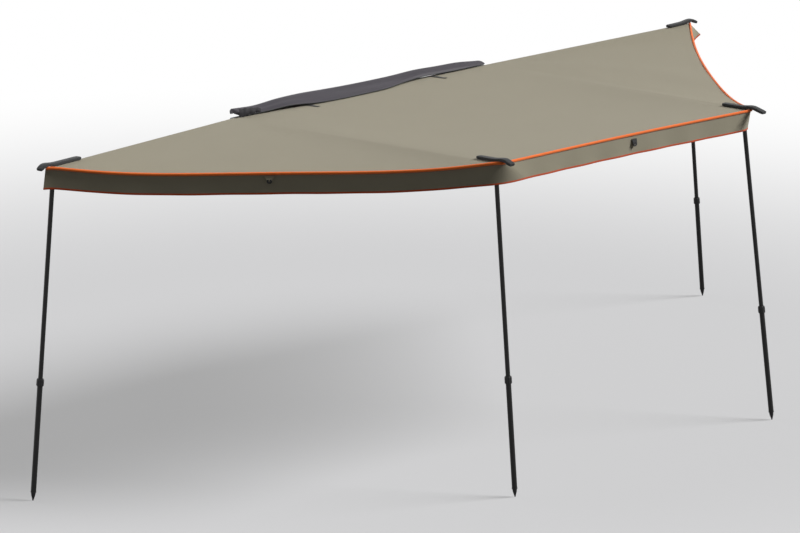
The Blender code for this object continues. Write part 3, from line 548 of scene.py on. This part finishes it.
def swept(
    path: Sequence[Vector],
    profile: Sequence[tuple[float, float]],
    taper: Callable[[float], float] | None = None,
    over: Vector = UP,
) -> bmesh.types.BMesh:
    """Pushes a cross-section along a path into a closed shape, with a UV map in metres.

    Args:
        path: The points that it follows.
        profile: The cross-section, as sideways and upward distances.
        taper: The cross-section's size at a share of the path, if it changes.
        over: What is up for the cross-section. The path never runs along it.
    """
    bm = bmesh.new()
    run = bm.verts.layers.float.new("run")
    girth = bm.verts.layers.float.new("girth")
    steps = [math.dist(a, b) for a, b in zip(profile, [*profile[1:], profile[0]])]
    last, travelled = len(path) - 1, 0.0
    verts, edges, first, previous = [], [], [], None
    for i, point in enumerate(path):
        ahead = (path[min(i + 1, last)] - path[max(i - 1, 0)]).normalized()
        side = ahead.cross(over).normalized()
        size = taper(i / last) if taper else 1.0
        here = Matrix((side * size, side.cross(ahead) * size, ahead)).transposed().to_4x4()
        here.translation = point
        if previous is None:
            verts = [bm.verts.new(here @ Vector((x, y, 0))) for x, y in profile]
            for k, vert in enumerate(verts):
                vert[girth] = sum(steps[:k])
            edges = first = [bm.edges.new(pair) for pair in zip(verts, verts[1:] + verts[:1])]
        else:
            travelled += (point - path[i - 1]).length
            made = bmesh.ops.extrude_edge_only(bm, edges=edges)["geom"]
            verts = [g for g in made if isinstance(g, bmesh.types.BMVert)]
            fresh = set(verts)
            rings = [g for g in made if isinstance(g, bmesh.types.BMEdge)]
            edges = [e for e in rings if fresh.issuperset(e.verts)]
            bmesh.ops.transform(bm, matrix=here @ previous.inverted(), verts=verts)
        for vert in verts:
            vert[run] = travelled
        previous = here
    bmesh.ops.holes_fill(bm, edges=[*first, *edges], sides=0)
    bmesh.ops.recalc_face_normals(bm, faces=bm.faces)
    uv = bm.loops.layers.uv.new("cloth")
    whole = sum(steps)
    for face in bm.faces:
        high = max(corner.vert[girth] for corner in face.loops)
        for corner in face.loops:
            wrapped = whole if len(face.verts) == 4 and high - corner.vert[girth] > whole / 2 else 0
            corner[uv].uv = (corner.vert[girth] + wrapped, corner.vert[run])
    return bm


def rounded(width: float, height: float, steps: int, power: float) -> list[tuple[float, float]]:
    """A flattened round cross-section about the origin: the lower the power, the squarer."""
    ring = []
    for k in range(steps):
        a = math.tau * (k + 0.5) / steps
        across, up = math.cos(a), math.sin(a)
        x = width / 2 * math.copysign(abs(across) ** power, across)
        y = height / 2 * math.copysign(abs(up) ** power, up)
        ring.append((x, y))
    return ring


def smooth_through(values: Sequence[tuple[float, ...]], share: float) -> list[float]:
    """A point on the smooth curve through evenly spaced points of as many numbers each.

    The share is 0 at the first of them and 1 at the last.
    """
    last = len(values) - 1
    k = min(int(share * last), last - 1)
    f = share * last - k
    before, a, b, after = (values[min(max(i, 0), last)] for i in (k - 1, k, k + 1, k + 2))
    made = []
    for p, q, r, s in zip(before, a, b, after):
        bend = (2 * p - 5 * q + 4 * r - s) * f + (3 * q - 3 * r + s - p) * f * f
        made.append(q + 0.5 * f * (r - p + bend))
    return made


def run_length(path: Sequence[Vector]) -> float:
    """How long a path is."""
    return sum((b - a).length for a, b in zip(path, path[1:]))


def placed(name: str, data: bpy.types.ID, aim: Vector | None = None) -> bpy.types.Object:
    """Puts a mesh, lamp or camera in the scene, at the origin and facing an aim if it has one."""
    made = bpy.data.objects.new(name, data)
    if aim is not None:
        made.rotation_mode = "QUATERNION"
        made.rotation_quaternion = aim.to_track_quat("-Z", "Y")
    bpy.context.scene.collection.objects.link(made)
    return made


def finished(name: str, bm: bmesh.types.BMesh, finish: Finish) -> bpy.types.Object:
    """Turns a bmesh, which is freed, into an object of a finish at the origin."""
    mesh = bpy.data.meshes.new(name)
    bm.to_mesh(mesh)
    bm.free()
    mesh.shade_smooth()
    mesh.set_sharp_from_angle(angle=SHARP)
    mesh.materials.append(finish.material())
    LOG.info("%s: %d faces", name, len(mesh.polygons))
    return placed(name, mesh)


@dataclass(frozen=True)
class LooseEnd:
    """How a valance's free end stands away from straight down, and how soon along that dies out."""

    out: float
    lift: float
    past: float
    reach: float
    past_reach: float = 0.1


@dataclass(frozen=True)
class Strip:
    """One valance: the CAD node that it stands for, its edge, and its share of that edge."""

    node: str
    edge: Edge
    low: float
    high: float
    carrier: Carrier

    def at(self, share: float) -> float:
        """How far along the whole edge a share of the strip lies."""
        return self.low + (self.high - self.low) * share


# The panel that each valance hangs from
# The binding's width and height in metres: it is rolled over differently along each edge
PIPING = {Edge.FRONT: (0.020, 0.019), Edge.OUTER: (0.010, 0.018), Edge.REAR: (0.016, 0.014)}
STRIPS = (
    Strip("valance_front", Edge.FRONT, 0.0, 1.0, Carrier.FRONT_FAN),
    Strip("valance_outer_front", Edge.OUTER, 0.0, 0.5, Carrier.MIDDLE_FRONT),
    Strip("valance_outer_rear", Edge.OUTER, 0.5, 1.0, Carrier.MIDDLE_REAR),
    Strip("valance_rear", Edge.REAR, 0.0, 1.0, Carrier.REAR_FAN),
)


@dataclass(frozen=True)
class GuyTab:
    """A tab for a guy rope: its valance, its place along the edge and its sizes in metres."""

    name: str
    strip: Strip
    place: float
    below: float
    width: float
    narrowing: float
    fall: float
    stand: float
    thickness: float
    finish: Finish


GUY_TABS = (
    GuyTab("guy_tab_front", STRIPS[0], 0.488, 0.010, 0.086, 0.80, 0.036, 0.016, 0.0012, CANVAS),
    GuyTab("guy_tab_outer", STRIPS[2], 0.524, 0.028, 0.044, 0.25, 0.034, 0.010, 0.0050, WEBBING),
)


@dataclass
class ClothWork:
    """The canopy's panels, its valances, and the tapes and tabs sewn to them."""

    canopy: Canopy
    sheet: float = 0.0006
    valance_height: float = 0.124
    valance_wave: float = 0.003
    valance_waves: int = 7
    turn_top: float = 0.030
    turn_hem: dict[int, float] = field(default_factory=lambda: {2: 0.240, 3: 0.130})
    stand_off: float = 0.0018
    bulge: float = 0.022
    bulge_reach: float = 0.160
    tuck: float = 0.00075
    hem_height: float = 0.012
    hem_width: float = 0.003
    piping_out: float = 0.3
    tab_out: float = 0.004
    loop_half: tuple[float, float] = (0.012, 0.009)
    rows: int = 48
    blend_half: float = 1.0
    front_end: LooseEnd = LooseEnd(0.014, 0.0, 0.016, 0.05)
    rear_end: LooseEnd = LooseEnd(0.078, 0.044, 0.0, 0.085)

    def carried(self, piece: bpy.types.Object, carrier: Carrier) -> None:
        """Fixes a piece of cloth in place: a fan's piece stays where it lies, and any other goes with
        the rail's body.
        """
        if carrier in (Carrier.FRONT_FAN, Carrier.REAR_FAN):
            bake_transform(piece)
            return
        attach(piece, "rack_side")
        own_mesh(piece)

    def build(self) -> None:
        """Makes the four panels, the four valances, their tapes and the guy tabs."""
        self.fans()
        self.middles()
        for strip in STRIPS:
            self.valance(strip)
        for tab in GUY_TABS:
            self.guy_tab(tab)

    def fans(self) -> None:
        """Makes the fan panel at each end."""
        c = self.canopy
        count = 72
        for edge, carrier, node in (
            (Edge.FRONT, Carrier.FRONT_FAN, "canopy_front_fan"),
            (Edge.REAR, Carrier.REAR_FAN, "canopy_rear_fan"),
        ):
            flat = (c.length(edge), (c.free_edge(edge, 0.5) - c.hinge(edge)).length)

            def surface(u: float, v: float, edge: Edge = edge) -> Vector:
                return c.fan(edge, c.spread(u, count), c.fan_start + (1 - c.fan_start) * v)

            sheet = laid_sheet((count, self.rows), surface, flat, self.sheet)
            self.panel(node, sheet, c.fan_cut(edge), carrier, CANVAS)

    def middles(self) -> None:
        """Makes the middle panel in its two halves."""
        c = self.canopy
        count = 96
        flat = (c.length(Edge.OUTER) / 2, (c.corner(2) - c.root(0.0)).length)
        for low, carrier, node in (
            (0.0, Carrier.MIDDLE_FRONT, "canopy_middle_front"),
            (0.5, Carrier.MIDDLE_REAR, "canopy_middle_rear"),
        ):

            def surface(u: float, v: float, low: float = low) -> Vector:
                return c.middle(c.spread(low + u / 2, count), v)

            start = 2 * low * flat[0]
            sheet = laid_sheet((count // 2, self.rows), surface, flat, self.sheet, start)
            self.panel(node, sheet, c.half_cut(low), carrier, CANVAS)

    def panel(
        self,
        node: str,
        bm: bmesh.types.BMesh,
        area: float,
        carrier: Carrier,
        finish: Finish,
    ) -> None:
        """Makes a piece of cloth, fixes it in place and hides its CAD node. Its area, the flat one
        that it is cut to, worked out apart from its modelled shape, is not used.
        """
        piece = finished(f"{node}_cloth", bm, finish)
        self.carried(piece, carrier)
        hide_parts(node)

    def rim(self, edge: Edge, t: float, turn: float) -> Vector:
        """A point on an edge of the canopy, t along it, with its shared corners rounded off.

        The rounding starts at a distance, turn, from a shared corner. At the corner itself the
        point is the same from either edge.
        """
        c = self.canopy
        edges = list(Edge)
        near_end = t > 0.5
        place = edges.index(edge) + (1 if near_end else -1)
        share = turn / c.length(edge)
        left = 1 - t if near_end else t
        if left >= share or not 0 <= place < len(edges):
            return c.free_edge(edge, t)
        beyond = edges[place]
        part = turn / c.length(beyond)
        w = 0.5 * (1 - left / share)
        start = c.free_edge(edge, 1 - share if near_end else share)
        corner = c.corner(edge.value[1] if near_end else edge.value[0])
        end = c.free_edge(beyond, part if near_end else 1 - part)
        return start * (1 - w) ** 2 + corner * 2 * w * (1 - w) + end * w**2

    def facing(self, edge: Edge, t: float, turn: float) -> Vector:
        """The level direction square to the rounded rim, away from the vehicle."""
        step = 0.002
        run = self.rim(edge, t + step, turn) - self.rim(edge, t - step, turn)
        square = Vector((-run.y, run.x, 0)).normalized()
        return square if square.dot(self.canopy.outward(edge)) > 0 else -square

    def hang(self, edge: Edge, t: float, drop: float) -> Vector:
        """A point on a valance, drop being a share of its height."""
        nearest = edge.value[1] if t > 0.5 else edge.value[0]
        turn = self.turn_top + (self.turn_hem.get(nearest, self.turn_top) - self.turn_top) * drop
        out = self.facing(edge, t, turn)
        left = min(t, 1 - t) * self.canopy.length(edge)
        rest = self.canopy.flat_bottom(t)
        away = self.stand_off
        away += self.valance_wave * drop * math.sin(math.tau * self.valance_waves * t) * rest
        if nearest == 2:
            away += self.bulge * drop * math.exp(-((left / self.bulge_reach) ** 2))
        fall = self.valance_height
        point = self.rim(edge, t, turn)
        if edge is not Edge.OUTER:
            loose = self.front_end if edge is Edge.FRONT else self.rear_end
            from_end = (t if edge is Edge.FRONT else 1 - t) * self.canopy.length(edge)
            near = math.exp(-from_end / loose.reach)
            away += loose.out * near * drop
            fall -= loose.lift * near
            first, second = self.canopy.ends(edge)
            ahead = (first - second).normalized()
            point += ahead * loose.past * drop * math.exp(-from_end / loose.past_reach)
        return point + out * away + UP * (self.tuck - fall * drop)

    def valance(self, strip: Strip) -> None:
        """Makes one valance with its piping and its hem tape."""
        edge, turn = strip.edge, self.turn_top
        count = 160 if strip.high - strip.low == 1.0 else 110
        width = run_length([self.rim(edge, strip.at(k / count), turn) for k in range(count + 1)])

        def surface(u: float, v: float) -> Vector:
            return self.hang(edge, strip.at(u), v)

        flat = (width, self.valance_height)
        sheet = laid_sheet((count, 12), surface, flat, self.sheet, 2 * strip.low * width)
        tapes = self.tapes(strip, count)
        # The valances' canvas is painted a little lighter than the canopy's, as painted light.
        self.panel(strip.node, sheet, flat[0] * flat[1], strip.carrier, VALANCE)

    def tapes(self, strip: Strip, count: int) -> list[bpy.types.Object]:
        """Makes the piping along a valance's edge and the tape along its hem, in even steps."""
        edge, turn = strip.edge, self.turn_top
        upper, lower = [], []
        wide, high = PIPING[edge]
        for t in (strip.at(k / count) for k in range(count + 1)):
            out = self.facing(edge, t, turn)
            upper.append(self.rim(edge, t, turn) + out * wide * self.piping_out)
            lower.append(self.hang(edge, t, 1.0))
        cord = rounded(wide, high, 16, 1.0)
        tape = rounded(self.hem_width, self.hem_height, 10, 0.4)
        pieces = [
            finished(f"{strip.node}_piping", swept(upper, cord), ORANGE_TAPE),
            # The hem tape is the piping's orange in painted shade.
            finished(f"{strip.node}_hem", swept(lower, tape), HEM_IN_PAINTED_SHADE),
        ]
        for piece in pieces:
            self.carried(piece, strip.carrier)
        return pieces

    def guy_tab(self, tab: GuyTab) -> None:
        """Makes a tab for a guy rope: a patch under the piping, and its webbing loop."""
        edge = tab.strip.edge
        out = self.facing(edge, tab.place, self.turn_top)
        along = out.cross(UP)
        drop = tab.below / self.valance_height
        top = self.hang(edge, tab.place, drop) + out * self.tab_out

        def surface(u: float, v: float) -> Vector:
            across = (u - 0.5) * tab.width * (1 - tab.narrowing * v)
            return top + along * across + out * tab.stand * v - UP * tab.fall * v

        flat = (tab.width, math.hypot(tab.fall, tab.stand))
        patch = laid_sheet((10, 8), surface, flat, tab.thickness)
        piece = finished(f"{tab.name}_patch", patch, tab.finish)
        centre = top + out * tab.stand - UP * tab.fall
        angles = [math.radians(a) for a in range(110, 431, 20)]
        wide, high = self.loop_half
        path = [centre + along * wide * math.cos(a) + UP * high * math.sin(a) for a in angles]
        ring = swept(path, rounded(0.010, 0.005, 8, 0.5), over=out)
        loop = finished(f"{tab.name}_loop", ring, WEBBING)
        for made in (piece, loop):
            self.carried(made, tab.strip.carrier)


@dataclass
class CornerSleeves:
    """The black padded straps that hold the canopy's corners over the arm tips."""

    canopy: Canopy
    inner: tuple[float, ...] = (0.250, 0.145, 0.162, 0.190)
    outer: tuple[float, ...] = (0.128, 0.138, 0.168, 0.093)
    width: float = 0.046
    thickness: float = 0.020
    arch: float = 0.008
    arch_reach: float = 0.05
    droop: float = 0.016
    overhang: float = 0.015
    lift: float = 0.0020
    end_size: float = 0.86
    end_growth: float = 3.5
    steps: int = 30

    def build(self) -> None:
        """Makes one sleeve a corner."""
        for arm in self.canopy.arms.values():
            self.sleeve(arm)

    def base(self, arm: ArmLine, along: float) -> Vector:
        """A point on the sleeve's underside, at a distance past the leg's pivot."""
        reach, outer = self.canopy.corner_reach[arm.number - 1], self.outer[arm.number - 1]
        flat = reach + self.overhang
        past = max(0.0, along - flat) / (outer - flat)
        length = (arm.pivot - arm.pin).length + reach
        climb = (self.canopy.root_z - self.canopy.over_arm) / length
        ridge = self.canopy.over_arm + climb * max(0.0, reach - along)
        hump = self.arch * math.exp(-(((along - reach) / self.arch_reach) ** 2))
        return arm.place(along, 0, ridge + self.lift + hump - self.droop * past**1.4)

    def sleeve(self, arm: ArmLine) -> None:
        """Makes the sleeve that sits on an arm."""
        number = arm.number
        inner, outer = self.inner[number - 1], self.outer[number - 1]
        path = []
        for k in range(self.steps + 1):
            along = -inner + (inner + outer) * k / self.steps
            path.append(self.base(arm, along) + UP * self.thickness / 2)

        def taper(share: float) -> float:
            return min(1.0, self.end_size + self.end_growth * min(share, 1 - share))

        strap = swept(path, rounded(self.width, self.thickness, 20, 0.42), taper)
        pad = finished(f"corner_sleeve_{number}_pad", strap, WEBBING)
        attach(pad, f"arm_{number}")
        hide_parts(f"corner_sleeve_{number}")


# How the opened cover lies, at even steps from the front end of the rail to its rear end: the
# height of its crest, how far out its loose edge is, and how high that lies over the canopy
COVER_STATIONS = (
    (0.074, -0.060, 0.004),
    (0.066, -0.072, 0.006),
    (0.080, -0.096, 0.018),
    (0.084, -0.122, 0.006),
    (0.079, -0.135, 0.003),
    (0.074, -0.134, 0.003),
    (0.072, -0.124, 0.003),
    (0.073, -0.072, 0.004),
    (0.079, -0.049, 0.010),
    (0.074, -0.047, 0.006),
    (0.070, -0.046, 0.004),
    (0.054, -0.044, 0.005),
)


@dataclass
class StorageCover:
    """The storage bag, opened and thrown back over the rail, with its two straps."""

    canopy: Canopy
    front: float = -1.158
    rear: float = 1.196
    back: float = 0.046
    base: float = 0.0385
    sheet: float = 0.0016
    end_share: float = 0.009
    end_size: float = 0.08
    end_height: float = 0.012
    edge_drop: float = 0.004
    clearance: float = 0.002
    shoulder: tuple[float, float] = (-0.022, 0.010)
    ripple: float = 0.0018
    typical: float = 0.4
    binding: tuple[float, float] = (0.010, 0.004)
    binding_inset: float = 0.012
    tails: tuple[tuple[float, float, float], ...] = ((-0.590, -0.105, -0.200), (0.655, -0.040, -0.166))
    tail_size: tuple[float, float] = (0.025, 0.0022)
    tail_lift: float = 0.0024
    tail_wave: float = 0.0012
    tail_drift: float = 0.006

    def section(self, share: float, turn: float) -> Vector:
        """A point on the opened cover: share along the rail, turn from its back to its loose edge."""
        crest, edge, lift = smooth_through(COVER_STATIONS, share)
        x = self.front + (self.rear - self.front) * share
        low = max(self.canopy.height_at(x, edge), self.base - self.edge_drop) + lift + self.clearance
        out, fall = self.shoulder
        points = (
            (self.back, self.base),
            (self.back + 0.006, (self.base + crest) / 2),
            (self.back - 0.004, crest - 0.003),
            (0.012, crest),
            (out, crest - fall),
            ((edge + out) / 2, (low + crest - fall) / 2 + 0.003),
            (edge * 0.85 + out * 0.15, low + (crest - fall - low) * 0.12 + 0.001),
            (edge, low),
        )
        y, z = smooth_through(points, turn)
        drift = 2.4 * turn + 0.35 * math.sin(1.9 * x + 0.6)
        z += self.ripple * math.sin(math.tau * drift) * math.sin(math.pi * turn)
        end = min(1.0, min(share, 1 - share) / self.end_share)
        close = self.end_size + (1 - self.end_size) * math.sqrt(1 - (1 - end) ** 2)
        heart = self.end_height
        return Vector((x, y * close, self.base + heart + (z - self.base - heart) * close))

    def fixed(self, piece: bpy.types.Object) -> None:
        """Fixes a soft piece of the cover to the rail."""
        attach(piece, "rack_side")
        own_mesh(piece)

    def build(self) -> None:
        """Makes the cover as one opened cloth, its edge binding, its end and its straps."""
        girth = run_length([self.section(self.typical, k / 40) for k in range(41)])
        flat = (self.rear - self.front, girth)
        sheet = laid_sheet((220, 44), self.section, flat, self.sheet)
        cover = finished("storage_cover_cloth", sheet, COVER_CLOTH)
        inset, bound = self.binding_inset, 1 - 2 * self.binding_inset
        hem = [self.section(inset + bound * k / 200, 1.0) for k in range(201)]
        tape = swept(hem, rounded(*self.binding, 10, 0.5))
        binding = finished("storage_cover_binding", tape, WEBBING)
        end = self.end_flap()
        self.fixed(cover)
        self.fixed(binding)
        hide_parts("storage_cover")
        for name, tail in zip(("storage_strap_front", "storage_strap_rear"), self.tails):
            self.strap(name)
            self.tail(name, *tail)

    def end_flap(self) -> bpy.types.Object:
        """Makes the cover's front end, turned out and crumpled, so that its lining shows."""
        length, height, narrowing = 0.190, 0.046, 0.022
        top, droop, ripple = 0.0855, 0.018, 0.0025
        out, lean, belly, crumple = -0.052, 0.016, 0.006, 0.0055
        ahead, skew = 0.004, 0.010

        def surface(u: float, v: float) -> Vector:
            fold = crumple * math.sin(17 * u**1.5 + 2.2 * v) * (0.4 + 0.6 * v)
            y = out - lean * v * (1 - 0.4 * u) - belly * math.sin(math.pi * v) + fold
            z = top - droop * u**2 - (height - narrowing * u**2) * v
            z += ripple * math.sin(23 * u + 1.0)
            return Vector((self.front - ahead + length * u - skew * v, y, z))

        sheet = laid_sheet((48, 16), surface, (length, height), self.sheet)
        flap = finished("storage_cover_end", sheet, COVER_LINING)
        self.fixed(flap)
        return flap

    def strap(self, name: str) -> None:
        """Makes one webbing strap where its solid is."""
        low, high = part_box(name)
        x = (low.x + high.x) / 2
        lie = high.y - 0.0013
        # The middle of the webbing, across the rail and up, from its lower end to its upper one
        bends = (
            (lie, low.z + 0.001),
            (lie, low.z + 0.020),
            (lie, 0.000),
            (lie - 0.0008, 0.008),
            (lie - 0.0035, 0.0125),
            (low.y + 0.001, 0.0160),
        )
        path = [Vector((x, y, z)) for y, z in bends]
        webbing = swept(path, rounded(0.0018, high.x - low.x, 12, 0.4), over=REARWARD)
        strap = finished(f"{name}_webbing", webbing, WEBBING)
        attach(strap, "rack_side")
        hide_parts(name)

    def tail(self, name: str, x: float, near: float, far: float) -> None:
        """Makes a strap's loose tail, lying on the canopy at x along the rail.

        It comes out from under the cover at near and ends at far, both as places along y.
        """
        path, steps = [], 12
        for k in range(steps + 1):
            y = near + (far - near) * k / steps
            wave = self.tail_wave * (1 - math.cos(math.tau * k / steps * 1.5))
            z = self.canopy.height_at(x, y) + self.tail_lift + wave
            path.append(Vector((x + self.tail_drift * (k / steps) ** 2, y, z)))
        webbing = swept(path, rounded(*self.tail_size, 12, 0.4))
        tail = finished(f"{name}_tail", webbing, WEBBING)
        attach(tail, "rack_side")
        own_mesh(tail)


def dress_hardware(frame: dict) -> None:
    """Gives each rigid CAD node, which keeps its shape, the finish of its material slot."""
    slots = {s["node"]: s["material_slot"] for s in frame["record"]["subparts"]}
    for name, thing in frame["nodes"].items():
        finish = NODE_FINISHES.get(slots[name])
        if finish:
            place = thing.material_slots[0]
            place.link = "OBJECT"
            place.material = finish.material()


@dataclass(frozen=True)
class Lamp:
    """A soft lamp: where its light goes, its watts a square metre and its angle in degrees."""

    name: str
    direction: tuple[float, float, float]
    strength: float
    softness: float


LAMPS = (
    Lamp("key_light", (-0.60, 0.50, -0.625), 3.6, 26.0),
    Lamp("fill_light", (0.38, -0.90, -0.20), 1.2, 60.0),
)


@dataclass
class Studio:
    """A pale floor, a soft key light from the right and the photograph's camera."""

    camera_place: tuple[float, float, float] = (-18.04, -17.42, 5.19)
    bearing: float = 46.61
    pitch: float = 14.23
    lens: float = 174.65
    sensor: float = 36.0
    clip_end: float = 500.0
    floor_size: float = 400.0
    floor_colour: str = "BABABC"
    floor_bounce: str = "646464"
    floor_glow: float = 0.32
    floor_roughness: float = 0.95
    floor_gloss: float = 0.1
    fade_near: float = 3.0
    fade_far: float = 10.0
    ambient: float = 0.12

    def build(self) -> None:
        """Makes the stage, the lights and the camera."""
        self.camera()
        self.floor()
        self.room()
        for lamp in LAMPS:
            sun = bpy.data.lights.new(lamp.name, "SUN")
            sun.energy = lamp.strength
            sun.angle = math.radians(lamp.softness)
            placed(lamp.name, sun, Vector(lamp.direction))
        bpy.context.scene.view_settings.view_transform = "Standard"

    def camera(self) -> None:
        """Places the camera at the photograph's viewing angle."""
        a, e = math.radians(self.bearing), math.radians(self.pitch)
        ahead = Vector((math.sin(a) * math.cos(e), math.cos(a) * math.cos(e), -math.sin(e)))
        lens = bpy.data.cameras.new("photo_camera")
        lens.lens = self.lens
        lens.sensor_width = self.sensor
        lens.clip_end = self.clip_end
        camera = placed("photo_camera", lens, ahead)
        camera.location = self.camera_place
        bpy.context.scene.camera = camera

    def seen(self, nodes: Shading) -> bpy.types.NodeSocket:
        """Adds what is 1 for rays from the camera, a gloss or glass, and 0 for the light itself."""
        path = nodes.add("LightPath")
        either = nodes.work_out("MAXIMUM", path["Is Camera Ray"], path["Is Glossy Ray"])
        return nodes.work_out("MAXIMUM", either, path["Is Transmission Ray"])

    def floor(self) -> None:
        """Lays the floor: pale grey under the awning, fading to white further out."""
        bm = bmesh.new()
        bmesh.ops.create_grid(bm, x_segments=1, y_segments=1, size=self.floor_size / 2)
        bmesh.ops.translate(bm, vec=(0, 0, GROUND), verts=bm.verts)
        mesh = bpy.data.meshes.new("studio_floor")
        bm.to_mesh(mesh)
        bm.free()
        floor = placed("studio_floor", mesh)
        made = bpy.data.materials.new("pale_studio_floor")
        made.use_nodes = True
        nodes = Shading(made.node_tree)
        matt = {"Roughness": self.floor_roughness, "Specular IOR Level": self.floor_gloss}
        nodes.plug(nodes.shader, {"Base Color": linear(self.floor_colour), **matt})
        seen = self.seen(nodes)
        dull = nodes.add("BsdfDiffuse", {"Color": linear(self.floor_bounce)})[0]
        lit = nodes.add("MixShader", {0: seen, 1: dull, 2: nodes.shader.outputs[0]})[0]
        where = nodes.add("TexCoord")["Object"]
        level = nodes.add("VectorMath", {0: where, 1: (1, 1, 0)}, operation="MULTIPLY")[0]
        sockets = {
            "Value": nodes.add("VectorMath", {0: level}, operation="LENGTH")["Value"],
            "From Min": self.fade_near,
            "From Max": self.fade_far,
            "To Min": self.floor_glow,
        }
        fade = nodes.add("MapRange", sockets, interpolation_type="SMOOTHSTEP")["Result"]
        share = nodes.work_out("MULTIPLY", fade, seen)
        white = nodes.add("Emission", {"Strength": 1.0})[0]
        mix = nodes.add("MixShader", {0: share, 1: lit, 2: white})[0]
        nodes.plug(nodes.tree.nodes["Material Output"], {"Surface": mix})
        mesh.materials.append(made)

    def room(self) -> None:
        """Makes the even light of the room, which looks white."""
        world = bpy.data.worlds.new("studio")
        bpy.context.scene.world = world
        world.use_nodes = True
        nodes = Shading(world.node_tree)
        sockets = {"Value": self.seen(nodes), "To Min": self.ambient, "To Max": 1.0}
        white = {"Color": (1, 1, 1, 1), "Strength": nodes.add("MapRange", sockets)["Result"]}
        nodes.plug(nodes.tree.nodes["Background"], white)


def main() -> None:
    """Builds the awning's looks and the studio."""
    logging.basicConfig(level=logging.INFO, format="%(message)s")
    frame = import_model()
    Studio().build()
    canopy = Canopy(frame["joints"])
    dress_hardware(frame)
    ClothWork(canopy).build()
    CornerSleeves(canopy).build()
    StorageCover(canopy).build()


if __name__ == "__main__":
    main()
